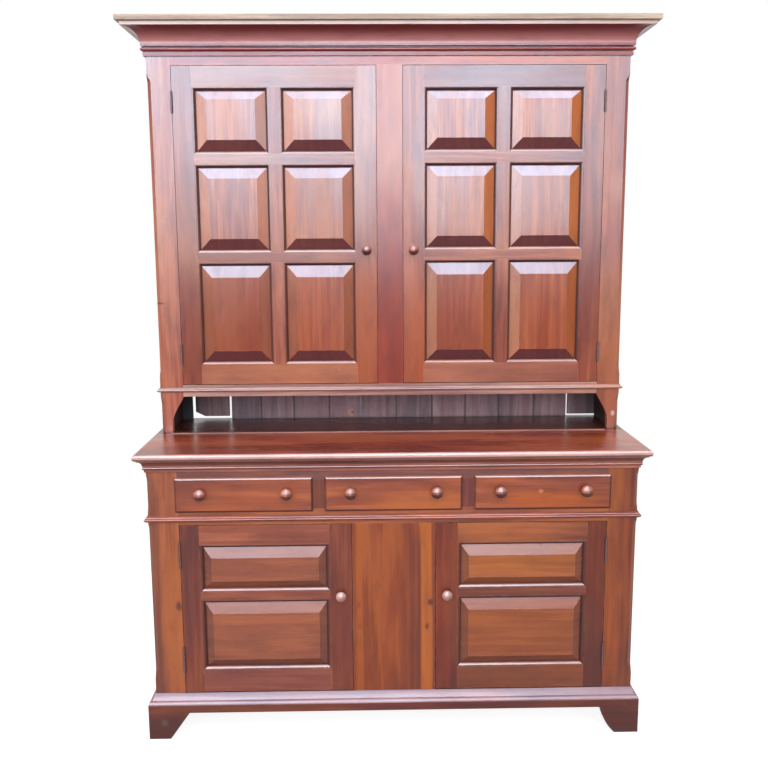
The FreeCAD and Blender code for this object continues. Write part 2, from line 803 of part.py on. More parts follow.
def lower_backboards():
    reach = lower_inside + rabbet_width
    pitch = (2 * reach + lower_back_gap) / lower_back_count
    edges = []
    for index in range(lower_back_count):
        x0 = -reach + index * pitch
        edges.append((x0, x0 + pitch - lower_back_gap))
    return vertical_boards(edges, case_underside, lower_case_top)


# Runners carry the drawer sides, guides keep them straight, kickers stop them tipping.
def drawer_runners(dividers):
    strips = []
    spans = [(lower_opening, lower_inside, True, False), (-lower_inside, -lower_opening, False, True)]
    spans += [(x - divider_width / 2, x + divider_width / 2, True, True) for x in dividers]
    for x0, x1, ledge_low, ledge_high in spans:
        wide0 = x0 - runner_ledge if ledge_low else x0
        wide1 = x1 + runner_ledge if ledge_high else x1
        guide_y = frame_thickness + guide_set_back
        for level in (drawer_low - runner_height, drawer_high):
            strips.append(block(wide0, wide1, frame_thickness, back_front, level, level + runner_height))
        strips.append(block(x0, x1, guide_y, back_front, drawer_low, drawer_low + runner_height))
    return strips


def build_lower_case():
    hinges = {side: lower_hinges(side) for side in (-1, 1)}
    floor = housed_board(lower_inside, frame_thickness, base_top - shelf_thickness, base_top)
    shelf_low = base_top + lower_shelf_lift
    shelf = housed_board(lower_inside, frame_thickness + lower_shelf_set_back, shelf_low,
                         shelf_low + shelf_thickness)
    sides = [rabbeted_side(side, half_lower, lower_face, case_underside, lower_case_top, [floor, shelf])
             for side in (-1, 1)]
    dividers = [-(middle_drawer_width + divider_width) / 2, (middle_drawer_width + divider_width) / 2]
    export("lower_sides", sides)
    export("lower_stile_left", [lower_stile(-1, hinges[-1])])
    export("lower_stile_right", [lower_stile(1, hinges[1])])
    export("lower_shelves", [floor, shelf])
    export("lower_top_rail", [block(-lower_opening, lower_opening, lower_face, frame_thickness,
                                    drawer_high, lower_case_top)])
    export("drawer_rail", [block(-lower_opening, lower_opening, lower_face, frame_thickness,
                                 drawer_rail_low, drawer_low)])
    export("lower_bottom_rail", [block(-lower_opening, lower_opening, lower_face, frame_thickness,
                                       case_underside, base_top)])
    export("drawer_dividers", [block(x - divider_width / 2, x + divider_width / 2, lower_face,
                                     frame_thickness, drawer_low, drawer_high) for x in dividers])
    export("centre_board", [block(-centre_board_width / 2, centre_board_width / 2, lower_face,
                                  frame_thickness, base_top, drawer_rail_low)])
    export("drawer_runners", drawer_runners(dividers))
    export("lower_backboards", lower_backboards())
    export("lower_top", [lower_top()])
    export("top_moulding", top_moulding())
    export("mid_bead", mitred_moulding(bead_steps(mid_bead_low, mid_bead_height, mid_bead_reach),
                                       half_lower, lower_face))
    export("base_boards", base_boards())
    export("base_moulding", base_moulding())
    export("foot_blocks", foot_blocks())
    for side, name, drop in ((-1, "lower_left_door", left_lower_rail_drop),
                             (1, "lower_right_door", right_lower_rail_drop)):
        door = lower_door(side, hinges[side], drop)
        export_door(name, door, hinges[side], lower_knob_radius, lower_face, lower_knob_height)
    middle = middle_drawer_width / 2
    build_drawer("left_drawer", -lower_opening, -middle - divider_width, outer_knob_spacing)
    build_drawer("middle_drawer", -middle, middle, middle_knob_spacing)
    build_drawer("right_drawer", middle + divider_width, lower_opening, outer_knob_spacing)
    return hinges


# Upper case

# From the frieze up: a flat base, a bead between two quirks, a flat, a cove and a fillet.
def crown_moulding():
    base_high = crown_low + crown_base_height
    bead_low = base_high + crown_quirk_height
    bead_high = bead_low + crown_bead_height
    flat_low = bead_high + crown_quirk_height
    fillet_low = upper_case_top - crown_fillet_height
    cove_x = crown_reach - crown_fillet_reach
    flat_x = cove_x - cove_radius
    bend = cove_radius * math.sqrt(0.5)
    steps = [(0, crown_low), (crown_base_depth, crown_low), (crown_base_depth, base_high),
             (crown_quirk_depth, base_high), (crown_quirk_depth, bead_low), (crown_bead_depth, bead_low),
             (crown_bead_reach, (bead_low + bead_high) / 2, crown_bead_depth, bead_high),
             (crown_quirk_depth, bead_high), (crown_quirk_depth, flat_low), (flat_x, flat_low),
             (flat_x, fillet_low - cove_radius),
             (cove_x - bend, fillet_low - cove_radius + bend, cove_x, fillet_low),
             (crown_reach, fillet_low), (crown_reach, upper_case_top), (0, upper_case_top)]
    return mitred_moulding(steps, half_upper, upper_face)


# A stile of the upper case. Below the waist its inner edge runs out in a curve to a foot.
def upper_stile(side, hinges):
    back_y = upper_face + frame_thickness
    outer = side * half_upper
    solid = block(side * upper_opening, outer, upper_face, back_y, table_height, upper_case_top)
    foot_x = half_upper - foot_width
    span = foot_x - upper_opening
    end_z = waist_rail_low - foot_curve_drop
    poles = [(upper_opening, waist_rail_low)]
    for run_share, drop_share in (foot_curve_start_pull, foot_curve_end_pull):
        poles.append((upper_opening + run_share * span, waist_rail_low - drop_share * foot_curve_drop))
    poles.append((foot_x, end_z))
    curve = Part.BezierCurve()
    curve.setPoles([Vec(side * x, upper_face, z) for x, z in poles])
    start, end = [Vec(side * x, upper_face, z) for x, z in (poles[0], poles[-1])]
    foot_end = Vec(end.x, upper_face, table_height)
    inside = Vec(start.x, upper_face, table_height)
    edges = [curve.toShape(), Part.makeLine(end, foot_end), Part.makeLine(foot_end, inside),
             Part.makeLine(inside, start)]
    waste = Part.Face(Part.Wire(edges)).extrude(Vec(0, frame_thickness, 0))
    solid = solid.cut(waste)
    chamfer_low = waist_bead_low + waist_bead_height + chamfer_above_waist_bead
    chamfer_high = crown_low - chamfer_below_crown
    solid = solid.cut(chamfer_waste(side, half_upper, upper_face, chamfer_low, chamfer_high))
    solid = solid.cut(chamfer_waste(side, half_upper, upper_face, table_height, waist_rail_low,
                                    stop_low=False))
    return let_in(solid, hinges, "case")


# Random width boards with shrinkage gaps. The second is short and has lost a corner, the
# sixth has lost a knot, the tenth a chipped foot and the last is also short.
def upper_backboards():
    reach = upper_inside + rabbet_width
    scale = (2 * reach - sum(upper_back_gaps)) / sum(upper_back_widths)
    boards = []
    x = -reach
    for width, gap in zip(upper_back_widths, upper_back_gaps + [0]):
        boards.append((x, x + width * scale))
        x += width * scale + gap
    solids = vertical_boards(boards, table_height, upper_case_top)
    for index, lift in short_board_lifts.items():
        x0, x1 = boards[index]
        solids[index] = solids[index].cut(
            block(x0, x1, back_front, case_depth, table_height, table_height + lift))
    x0 = boards[1][0]
    foot = table_height + short_board_lifts[1]
    corner = [(x0, foot), (x0 + broken_corner_run, foot), (x0, foot + broken_corner_rise)]
    solids[1] = solids[1].cut(front_block(corner, back_front, case_depth))
    knot_at = Vec(boards[5][0] + knot_hole_inset, back_front, table_height + knot_hole_lift)
    knot = Part.makeCylinder(knot_hole_radius, knot_hole_depth, knot_at, Vec(0, 1, 0))
    solids[5] = solids[5].cut(knot)
    x0 = boards[10][0]
    chip_top = table_height + chip_height
    chip = [(x0, table_height), (x0 + chip_width, table_height), (x0 + chip_width / 2, chip_top),
            (x0, chip_top)]
    solids[10] = solids[10].cut(front_block(chip, back_front, back_front + chip_depth))
    return solids


def build_upper_case(lower_hinges):
    frame_back = upper_face + frame_thickness
    hinges = {side: upper_hinges(side) for side in (-1, 1)}
    floor = housed_board(upper_inside, frame_back, upper_floor_top - shelf_thickness, upper_floor_top)
    shelves = []
    for drop in left_mid_rail_drops:
        shelf_top = upper_door_high - drop + shelf_thickness / 2
        shelves.append(housed_board(upper_inside, frame_back + upper_shelf_set_back,
                                    shelf_top - shelf_thickness, shelf_top))
    sides = [rabbeted_side(side, half_upper, upper_face, table_height, upper_case_top, [floor] + shelves)
             for side in (-1, 1)]
    export("upper_sides", sides)
    export("upper_stile_left", [upper_stile(-1, hinges[-1])])
    export("upper_stile_right", [upper_stile(1, hinges[1])])
    half_centre = centre_stile_width / 2
    export("upper_centre_stile", [block(-half_centre, half_centre, upper_face, frame_back,
                                        upper_floor_top, frieze_low)])
    export("upper_top_rail", [block(-upper_opening, upper_opening, upper_face, frame_back,
                                    frieze_low, upper_case_top)])
    export("upper_bottom_rail", [block(-upper_opening, upper_opening, upper_face, frame_back,
                                       waist_rail_low, upper_floor_top)])
    export("upper_floor_board", [floor])
    export("upper_shelves", shelves)
    export("upper_backboards", upper_backboards())
    overhang = half_upper + top_board_overhang
    export("upper_top_board", [block(-overhang, overhang, upper_face - top_board_overhang, case_depth,
                                     upper_case_top, upper_case_top + top_board_thickness)])
    export("crown_moulding", crown_moulding())
    export("waist_bead", mitred_moulding(bead_steps(waist_bead_low, waist_bead_height, waist_bead_reach),
                                         half_upper, upper_face))
    foot_x = half_upper - foot_width
    strip_back = upper_face - locating_strip_clear
    strip = block(-foot_x, foot_x - locating_strip_short, strip_back - locating_strip_depth, strip_back,
                  table_height, table_height + locating_strip_height)
    export("locating_strip", [strip])
    for side, name, drops in ((-1, "upper_left_door", left_mid_rail_drops),
                              (1, "upper_right_door", right_mid_rail_drops)):
        door = upper_door(side, hinges[side], drops)
        export_door(name, door, hinges[side], upper_knob_radius, upper_face, upper_knob_height)
    case_side = []
    for group in (hinges[-1], hinges[1], lower_hinges[-1], lower_hinges[1]):
        case_side.extend(hinge_pieces(group, "case"))
        case_side.extend(hinge["pin"] for hinge in group)
    export("case_hinge_leaves", case_side)


build_upper_case(build_lower_case())
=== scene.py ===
# Finish, light and camera for the step back cupboard. Metres, +Z up, the front faces -Y.
import itertools
import math

import bpy
from mathutils import Matrix, Vector


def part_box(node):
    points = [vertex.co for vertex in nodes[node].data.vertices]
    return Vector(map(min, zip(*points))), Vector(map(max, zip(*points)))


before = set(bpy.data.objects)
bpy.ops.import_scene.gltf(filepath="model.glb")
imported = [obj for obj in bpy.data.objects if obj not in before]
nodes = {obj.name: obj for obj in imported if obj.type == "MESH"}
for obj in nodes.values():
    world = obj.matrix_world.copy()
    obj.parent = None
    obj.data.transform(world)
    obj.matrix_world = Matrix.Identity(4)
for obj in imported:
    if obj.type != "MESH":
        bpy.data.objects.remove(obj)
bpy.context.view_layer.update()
print("frame loaded,", len(nodes), "nodes")

# from a colour as it looks on screen, 0 to 255, to the linear value that a shader wants
screenCurve = {"full": 255, "knee": 0.04045, "footSlope": 12.92, "offset": 0.055, "power": 2.4}


def tone(red, green, blue):
    offset = screenCurve["offset"]
    parts = []
    for value in (red, green, blue):
        share = value / screenCurve["full"]
        if share < screenCurve["knee"]:
            parts.append(share / screenCurve["footSlope"])
        else:
            parts.append(((share + offset) / (1 + offset)) ** screenCurve["power"])
    return (*parts, 1.0)


# small helpers for shader trees

def addNode(tree, kind, **settings):
    node = tree.nodes.new(kind)
    for name, value in settings.items():
        setattr(node, name, value)
    return node


def feed(tree, socket, value):
    if isinstance(value, bpy.types.NodeSocket):
        tree.links.new(value, socket)
    else:
        socket.default_value = value


def calc(tree, operation, *values, clamp=False):
    node = addNode(tree, "ShaderNodeMath", operation=operation, use_clamp=clamp)
    for socket, value in zip(node.inputs, values):
        feed(tree, socket, value)
    return node.outputs[0]


def vectorCalc(tree, operation, *values):
    node = addNode(tree, "ShaderNodeVectorMath", operation=operation)
    for socket, value in zip(node.inputs, values):
        feed(tree, socket, value)
    measured = operation in ("LENGTH", "DISTANCE", "DOT_PRODUCT")
    return node.outputs["Value" if measured else "Vector"]


def spread(tree, value, low, high, newLow=0.0, newHigh=1.0):
    node = addNode(tree, "ShaderNodeMapRange", interpolation_type="SMOOTHSTEP")
    for name, given in (("Value", value), ("From Min", low), ("From Max", high),
                        ("To Min", newLow), ("To Max", newHigh)):
        feed(tree, node.inputs[name], given)
    return node.outputs["Result"]


# from nothing at one place to a share at another
def ramp(tree, value, start, end, share):
    return spread(tree, value, start, end, 0.0, share)


# a value dimmed by a mask's share
def dim(tree, value, mask, share):
    return calc(tree, "MULTIPLY", value, calc(tree, "SUBTRACT", 1.0, calc(tree, "MULTIPLY", mask, share)))


# the Mix node's sockets for one kind of value: factor, first, second and result
mixSockets = {"RGBA": (0, 6, 7, 2), "VECTOR": (0, 4, 5, 1)}


def mixValues(tree, kind, factor, first, second):
    node = addNode(tree, "ShaderNodeMix", data_type=kind)
    *inputs, result = mixSockets[kind]
    for index, given in zip(inputs, (factor, first, second)):
        feed(tree, node.inputs[index], given)
    return node.outputs[result]


def mixTones(tree, factor, first, second):
    return mixValues(tree, "RGBA", factor, first, second)


# a noise from its settings, with its range stretched from 0 to 1 where one is given
def noise(tree, position, look):
    scale = look["scale"]
    if isinstance(scale, tuple):
        position = vectorCalc(tree, "MULTIPLY", position, scale)
        scale = 1.0
    node = addNode(tree, "ShaderNodeTexNoise")
    feed(tree, node.inputs["Vector"], position)
    feed(tree, node.inputs["Scale"], scale)
    feed(tree, node.inputs["Detail"], look["detail"])
    feed(tree, node.inputs["Roughness"], look.get("roughness", 0.5))
    value = node.outputs["Fac"]
    return spread(tree, value, *look["range"]) if "range" in look else value


def startGroup(name, inputs, outputs):
    group = bpy.data.node_groups.new(name, "ShaderNodeTree")
    for label, kind, default in inputs:
        socket = group.interface.new_socket(label, in_out="INPUT", socket_type="NodeSocket" + kind)
        if default is not None:
            socket.default_value = default
    for label in outputs:
        group.interface.new_socket(label, in_out="OUTPUT", socket_type="NodeSocketFloat")
    return group, addNode(group, "NodeGroupInput").outputs, addNode(group, "NodeGroupOutput").inputs


def useGroup(tree, group, **values):
    node = addNode(tree, "ShaderNodeGroup", node_tree=group)
    for label, value in values.items():
        feed(tree, node.inputs[label], value)
    return node.outputs


# The figure of one board. The position comes in with the grain along Z, and each board number
# gives another tree.
figureLook = {
    "shift": (9.0, 9.0, 9.0), "pith": (0.4, 0.5, 0.0), "ringSharpness": 1.6,
    "cloud": {"scale": (9.0, 9.0, 1.6), "detail": 3.0, "range": (0.28, 0.72)},
    "blotch": {"scale": (5.0, 5.0, 1.9), "detail": 2.5, "roughness": 0.55},
    "mottle": {"scale": (26.0, 26.0, 8.0), "detail": 4.0, "roughness": 0.6, "range": (0.46, 0.72)},
    "streak": {"scale": (75.0, 75.0, 2.6), "detail": 4.0, "roughness": 0.62, "range": (0.25, 0.75)},
    "pores": {"scale": (900.0, 900.0, 40.0), "detail": 1.0, "range": (0.58, 0.74)},
    "bend": {"scale": (7.0, 7.0, 1.1), "detail": 2.0},
}


def makeWoodFigure():
    group, given, result = startGroup(
        "woodFigure",
        [("position", "Vector", None), ("board", "Float", 0.0), ("ringPitch", "Float", 0.012),
         ("wander", "Float", 0.05)],
        ["cloud", "rings", "streak", "pores", "blotch", "mottle"])
    draw = addNode(group, "ShaderNodeTexWhiteNoise", noise_dimensions="1D")
    feed(group, draw.inputs["W"], given["board"])
    shift = vectorCalc(group, "MULTIPLY", draw.outputs["Color"], figureLook["shift"])
    place = vectorCalc(group, "ADD", given["position"], shift)
    for label in ("cloud", "blotch", "mottle", "streak", "pores"):
        feed(group, result[label], noise(group, place, figureLook[label]))
    bend = calc(group, "SUBTRACT", noise(group, place, figureLook["bend"]), 0.5)
    pith = vectorCalc(group, "MULTIPLY", draw.outputs["Color"], figureLook["pith"])
    acrossGrain = (1.0, 1.0, 0.0)
    fromPith = vectorCalc(group, "MULTIPLY", vectorCalc(group, "ADD", given["position"], pith), acrossGrain)
    radius = calc(group, "MULTIPLY_ADD", bend, given["wander"], vectorCalc(group, "LENGTH", fromPith))
    turns = calc(group, "MULTIPLY", calc(group, "DIVIDE", radius, given["ringPitch"]), 2 * math.pi)
    wave = calc(group, "MULTIPLY_ADD", calc(group, "SINE", turns), 0.5, 0.5)
    feed(group, result["rings"], calc(group, "POWER", wave, figureLook["ringSharpness"]))
    return group


# Where an outer edge is rubbed, and how shut in each point is, for painted shade in the crevices.
wearLook = {
    "bevelSamples": 4, "openSamples": 6, "reach": 0.014, "edge": (0.995, 0.86), "outer": (0.1, 0.4),
    "crevice": (0.12, 0.85), "patches": {"scale": 38.0, "detail": 3.0, "range": (0.4, 0.66)},
}


def makeEdgeWearAndShade():
    group, given, result = startGroup(
        "edgeWearAndShade", [("position", "Vector", None), ("width", "Float", 0.003)], ["rubbed", "crevice"])
    surface = addNode(group, "ShaderNodeNewGeometry")
    rounded = addNode(group, "ShaderNodeBevel", samples=wearLook["bevelSamples"])
    feed(group, rounded.inputs["Radius"], given["width"])
    alike = vectorCalc(group, "DOT_PRODUCT", rounded.outputs["Normal"], surface.outputs["Normal"])
    edge = spread(group, alike, *wearLook["edge"])
    openness = addNode(group, "ShaderNodeAmbientOcclusion", samples=wearLook["openSamples"])
    feed(group, openness.inputs["Distance"], wearLook["reach"])
    crevice = calc(group, "SUBTRACT", 1.0, openness.outputs["AO"], clamp=True)
    patches = noise(group, given["position"], wearLook["patches"])
    outer = calc(group, "SUBTRACT", 1.0, spread(group, crevice, *wearLook["outer"]))
    rubbed = calc(group, "MULTIPLY", calc(group, "MULTIPLY", edge, outer), patches)
    feed(group, result["rubbed"], rubbed)
    feed(group, result["crevice"], spread(group, crevice, *wearLook["crevice"]))
    return group


# A soft edged oval mark, such as a knot, a plug or a nail.
def makeMark():
    group, given, result = startGroup(
        "mark",
        [("position", "Vector", None), ("centre", "Vector", None), ("size", "Vector", (1.0, 1.0, 1.0)),
         ("edge", "Float", 0.3)],
        ["mask"])
    offset = vectorCalc(group, "SUBTRACT", given["position"], given["centre"])
    distance = vectorCalc(group, "LENGTH", vectorCalc(group, "DIVIDE", offset, given["size"]))
    outside = calc(group, "ADD", 1.0, given["edge"])
    inside = calc(group, "SUBTRACT", 1.0, given["edge"])
    feed(group, result["mask"], spread(group, distance, outside, inside))
    return group


# Which way a surface faces, as masks from its normal in the object's own axes.
def makeFacing():
    group, given, result = startGroup(
        "facing", [("normal", "Vector", None), ("low", "Float", 0.1), ("high", "Float", 0.24)],
        ["up", "down", "left", "right"])
    parts = addNode(group, "ShaderNodeSeparateXYZ")
    feed(group, parts.inputs[0], given["normal"])
    for label, axis, sign in (("up", "Z", 1.0), ("down", "Z", -1.0),
                              ("left", "X", -1.0), ("right", "X", 1.0)):
        along = calc(group, "MULTIPLY", parts.outputs[axis], sign)
        feed(group, result[label], spread(group, along, given["low"], given["high"]))
    return group


woodFigure = makeWoodFigure()
edgeWearAndShade = makeEdgeWearAndShade()
mark = makeMark()
facing = makeFacing()
print("shader groups made")


# The boxes of the separate boards in a node, found from its loose triangles.
weldDigits = 5  # corners that agree to 0.01 mm are one


def boardBoxes(name):
    mesh = nodes[name].data
    groupOf = {}
    parent = []

    def root(index):
        while parent[index] != index:
            parent[index] = parent[parent[index]]
            index = parent[index]
        return index

    corner = []
    for vertex in mesh.vertices:
        key = tuple(round(value, weldDigits) for value in vertex.co)
        if key not in groupOf:
            groupOf[key] = len(parent)
            parent.append(len(parent))
        corner.append(groupOf[key])
    for edge in mesh.edges:
        first, second = (root(corner[index]) for index in edge.vertices)
        parent[first] = second
    boxes = {}
    for vertex in mesh.vertices:
        key = root(corner[vertex.index])
        low, high = boxes.get(key, (vertex.co.copy(), vertex.co.copy()))
        boxes[key] = (Vector(map(min, low, vertex.co)), Vector(map(max, high, vertex.co)))
    return list(boxes.values())


# The middles of the gaps between a node's boards along one axis.
mayOverlap = 0.0005  # boards that lap by no more than this still count as two


def cutsAlong(name, axis):
    index = "XYZ".index(axis)
    spans = sorted((low[index], high[index]) for low, high in boardBoxes(name))
    cuts = []
    reach = spans[0][1]
    for low, high in spans[1:]:
        if low > reach - mayOverlap:
            cuts.append((low + reach) / 2)
        reach = max(reach, high)
    return cuts


def boardCuts(name, axes):
    return [(axis, cutsAlong(name, axis)) for axis in axes]


# Numbers the boards by the cuts that a point lies beyond, so that no two share a figure.
boardSteps = {"piece": 3.7, "firstAxis": 1.0, "nextAxis": 17.0}
pieceNumbers = itertools.count(1)
leftAndRight = [("X", [0.0])]  # one board on each side of the middle


def boardNumber(tree, separate, cuts):
    number = float(next(pieceNumbers)) * boardSteps["piece"]
    step = boardSteps["firstAxis"]
    for axis, places in cuts:
        for place in places:
            beyond = calc(tree, "GREATER_THAN", separate.outputs[axis], place)
            number = calc(tree, "MULTIPLY_ADD", beyond, step, number)
        step *= boardSteps["nextAxis"]
    return number


# the axes in the order that lays the grain along Z
grainOrders = {"up": ("X", "Y", "Z"), "across": ("Y", "Z", "X"), "deep": ("Z", "X", "Y")}


def turned(tree, separate, grain):
    node = addNode(tree, "ShaderNodeCombineXYZ")
    for socket, axis in zip(node.inputs, grainOrders[grain]):
        feed(tree, socket, separate.outputs[axis])
    return node.outputs[0]


# A moulding's run gives its half width and front instead, and its grain turns at the mitres.
def grainPosition(tree, separate, grain):
    if grain in grainOrders:
        return turned(tree, separate, grain)
    halfWidth, face = grain
    sideways = calc(tree, "SUBTRACT", calc(tree, "ABSOLUTE", separate.outputs["X"]), halfWidth)
    forward = calc(tree, "SUBTRACT", face, separate.outputs["Y"])
    onSide = calc(tree, "GREATER_THAN", sideways, forward)
    return mixValues(tree, "VECTOR", onSide, turned(tree, separate, "across"),
                     turned(tree, separate, "deep"))


# half widths and front faces that the looks are placed by
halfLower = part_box("lower_sides")[1].x
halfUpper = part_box("upper_sides")[1].x
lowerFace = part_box("lower_stile_left")[0].y
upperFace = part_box("upper_stile_left")[0].y
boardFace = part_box("upper_backboards")[0].y

# The varnished wood. A palette after it changes only what differs on its piece.
varnish = {
    "dark": tone(134, 62, 40), "middle": tone(166, 86, 54), "light": tone(190, 106, 62),
    "cloudShare": 0.56, "ringShare": 0.16, "streakShare": 0.28, "contrast": (0.2, 0.8),
    "ringPitch": 0.03, "wander": 0.16, "blotch": (0.4, 0.6),
    "warm": tone(206, 114, 52), "warmShare": 0.5, "cool": tone(118, 52, 48), "coolShare": 0.5,
    # grime colours the specks and pores, and in the crevices it is painted shade
    "grimeAndShade": tone(44, 20, 18), "creviceShadeShare": 0.7, "rubbedTone": tone(204, 138, 92), "rubbedShare": 0.5,
    "mottleShare": 0.2, "poreShare": 0.18, "roughness": (0.24, 0.34), "specular": 0.2, "coat": (0.25, 0.45),
    "coatRoughness": 0.22, "coatIor": 1.5, "relief": 0.00008, "edgeWidth": 0.003,
    # painted shadow on surfaces that face down
    "facings": {"down": (tone(84, 38, 42), 0.7)}, "matte": {"down": 0.75}, "fade": None,
    "sideMatte": 0.9, "sideRoughness": 0.7,
}
lowerStileTones = {
    "dark": tone(104, 42, 32), "middle": tone(128, 56, 40), "light": tone(152, 76, 48),
    "warmShare": 0.3, "cool": tone(104, 44, 50),
}
rightCaseStileTones = {
    "dark": tone(116, 46, 24), "middle": tone(146, 68, 34), "light": tone(170, 86, 42),
}
railTones = {"dark": tone(100, 52, 48), "middle": tone(128, 72, 64), "light": tone(152, 92, 80)}
leftRailTones = {"dark": tone(136, 66, 46), "middle": tone(166, 86, 60), "light": tone(192, 108, 76)}
rightStileTones = {
    "dark": tone(102, 30, 14), "middle": tone(126, 42, 20), "light": tone(150, 60, 30), "warmShare": 0.2,
    "cool": tone(108, 32, 22),
}
rightDoorTones = {"dark": tone(122, 56, 36), "middle": tone(152, 78, 48), "light": tone(176, 98, 58)}
beadTones = {
    "dark": tone(152, 66, 38), "middle": tone(190, 92, 52), "light": tone(214, 114, 62), "coat": (0.1, 0.2),
}
mouldingTones = {"dark": tone(148, 76, 60), "middle": tone(178, 102, 80), "light": tone(200, 122, 94)}
centreTones = {
    "dark": tone(122, 46, 22), "middle": tone(150, 66, 28), "light": tone(178, 88, 38), "coolShare": 0.3,
    "cool": tone(124, 54, 36),
}
drawerTones = {
    "dark": tone(130, 58, 40), "middle": tone(164, 80, 50), "light": tone(192, 102, 58),
    "warm": tone(218, 110, 44), "warmShare": 0.75, "cool": tone(112, 48, 42), "coolShare": 0.6,
}
upperTones = {
    "dark": tone(134, 58, 40), "middle": tone(160, 78, 52), "light": tone(188, 102, 66),
    "warm": tone(218, 132, 78), "warmShare": 0.4, "cool": tone(124, 66, 66), "coolShare": 0.45,
}
upperPanelTones = {
    **upperTones, "dark": tone(148, 64, 40), "middle": tone(176, 88, 52), "light": tone(200, 110, 60),
    "cloudShare": 0.44, "streakShare": 0.42, "ringShare": 0.14, "contrast": (0.3, 0.7),
}
# the upper case's stiles: the upper wood painted paler and cooler, in part a painted sheen
upperStileSheenTones = {
    **upperTones, "dark": tone(150, 74, 58), "middle": tone(176, 94, 70), "light": tone(200, 118, 84),
    "warm": tone(226, 160, 124), "warmShare": 0.55, "cool": tone(140, 84, 92), "coolShare": 0.5,
}
# the upper bottom rail and waist bead: a paler, pinker copy of the upper wood, a painted sheen
waistSheenTones = {
    **upperTones, "dark": tone(168, 118, 108), "middle": tone(198, 148, 132), "light": tone(216, 166, 148),
}
crownTones = {
    **upperTones, "dark": tone(126, 58, 44), "middle": tone(150, 76, 58), "light": tone(172, 94, 72),
    "coat": (0.08, 0.18), "grimeAndShade": tone(66, 24, 20), "creviceShadeShare": 0.9, "facings": {},
}
friezeTones = {
    **upperTones, "dark": tone(154, 46, 16), "middle": tone(182, 66, 20), "light": tone(204, 86, 30),
    "cool": tone(140, 58, 58), "coolShare": 0.35, "coat": (0.2, 0.34),
}
centreStileTones = {"dark": tone(146, 52, 32), "middle": tone(172, 68, 38), "light": tone(196, 90, 50)}
baseTones = {
    "dark": tone(78, 30, 26), "middle": tone(98, 38, 32), "light": tone(120, 54, 44), "warmShare": 0.2,
    "cool": tone(100, 46, 54), "facings": {},
}
# the base moulding: a paler, lavender copy of the base wood, a painted sky reflection on its slope
baseMouldingSheenTones = {
    **baseTones, "dark": tone(154, 108, 112), "middle": tone(184, 138, 140), "light": tone(206, 162, 162),
    "roughness": (0.34, 0.46), "coat": (0.15, 0.3), "coatRoughness": 0.34, "rubbedShare": 0.1,
}
tableTones = {"dark": tone(158, 70, 50), "middle": tone(186, 90, 62), "light": tone(206, 110, 74)}

# the upper case is glossier, and its coat grows from the foot of its doors upwards
glossy = {"roughness": (0.2, 0.3), "fade": (1.2, 1.55, 0.3)}

# inner boards under a thin old stain, and wood that was never finished
plain = {
    "dark": tone(70, 46, 42), "middle": tone(98, 72, 68), "light": tone(128, 102, 96),
    "rubbedTone": tone(150, 124, 108), "rubbedShare": 0.3, "roughness": (0.6, 0.8), "specular": 0.3,
    "coat": (0.0, 0.0), "poreShare": 0.4, "relief": 0.0003, "warmShare": 0.0, "coolShare": 0.0,
    "mottleShare": 0.0, "facings": {},
}
backTones = {"dark": tone(122, 82, 82), "middle": tone(158, 112, 112), "light": tone(184, 140, 138)}
bare = {
    "dark": tone(176, 144, 116), "middle": tone(216, 186, 158), "light": tone(240, 218, 194),
    "rubbedTone": tone(252, 244, 230), "roughness": (0.6, 0.8), "specular": 0.3, "coat": (0.0, 0.0),
    "grimeAndShade": tone(130, 106, 86), "creviceShadeShare": 0.4, "relief": 0.0003, "warmShare": 0.0, "coolShare": 0.0,
    "mottleShare": 0.0, "facings": {},
}

# Painted light and shade for each way a surface faces, and its share, with a painted sheen where it faces
# up.
# On a framed door the moulded edges fall into painted shadow except where they face up.
frameLightAndShade = {
    "down": (tone(50, 28, 38), 0.92), "left": (tone(72, 38, 36), 0.78), "right": (tone(72, 38, 36), 0.78),
    "up": (tone(214, 160, 140), 0.4),
}
upperPanelLightAndShade = {
    "upper_left_door": {
        "down": (tone(92, 40, 48), 0.88), "up": (tone(178, 142, 152), 0.6),
        "left": (tone(210, 130, 92), 0.65, tone(158, 92, 64)),
        "right": (tone(190, 112, 76), 0.7, tone(154, 86, 60)),
    },
    "upper_right_door": {
        "down": (tone(88, 38, 46), 0.88), "up": (tone(172, 138, 150), 0.6),
        "left": (tone(206, 134, 106), 0.6, tone(204, 138, 100)),
        "right": (tone(200, 108, 42), 0.85, tone(168, 88, 46)),
    },
}
lowerPanelLightAndShade = {
    "down": (tone(88, 38, 28), 0.65), "left": (tone(112, 56, 40), 0.6), "right": (tone(106, 52, 38), 0.6),
    "up": (tone(168, 84, 50), 0.55),
}
rightPanelLightAndShade = {**lowerPanelLightAndShade, "up": (tone(166, 72, 16), 0.62)}
lowerPanelLook = {"matte": {"down": 0.85, "up": 0.7}}
drawerLightAndShade = {
    "down": (tone(70, 32, 34), 0.85), "right": (tone(74, 34, 34), 0.85), "left": (tone(100, 48, 40), 0.6),
    "up": (tone(214, 150, 120), 0.5),
}

# how a look's values are laid over the figure, the wear and the slope of the surface
finishRanges = {
    "blotchSoftness": 0.1, "markEdge": 0.5, "lowPaint": (1.3, 1.6), "dulling": (0.0, 1.4),
    "coating": (0.1, 0.9), "poreDepth": -0.7, "outerSide": (0.5, 0.85),
}


def startMaterial(label):
    material = bpy.data.materials.new(label)
    material.use_nodes = True
    material.node_tree.nodes.clear()
    return material, material.node_tree


def putOut(tree, shader, kind="ShaderNodeOutputMaterial"):
    feed(tree, addNode(tree, kind).inputs["Surface"], shader)


def wearOn(name, material):
    for slot in nodes[name].material_slots:
        slot.material = material


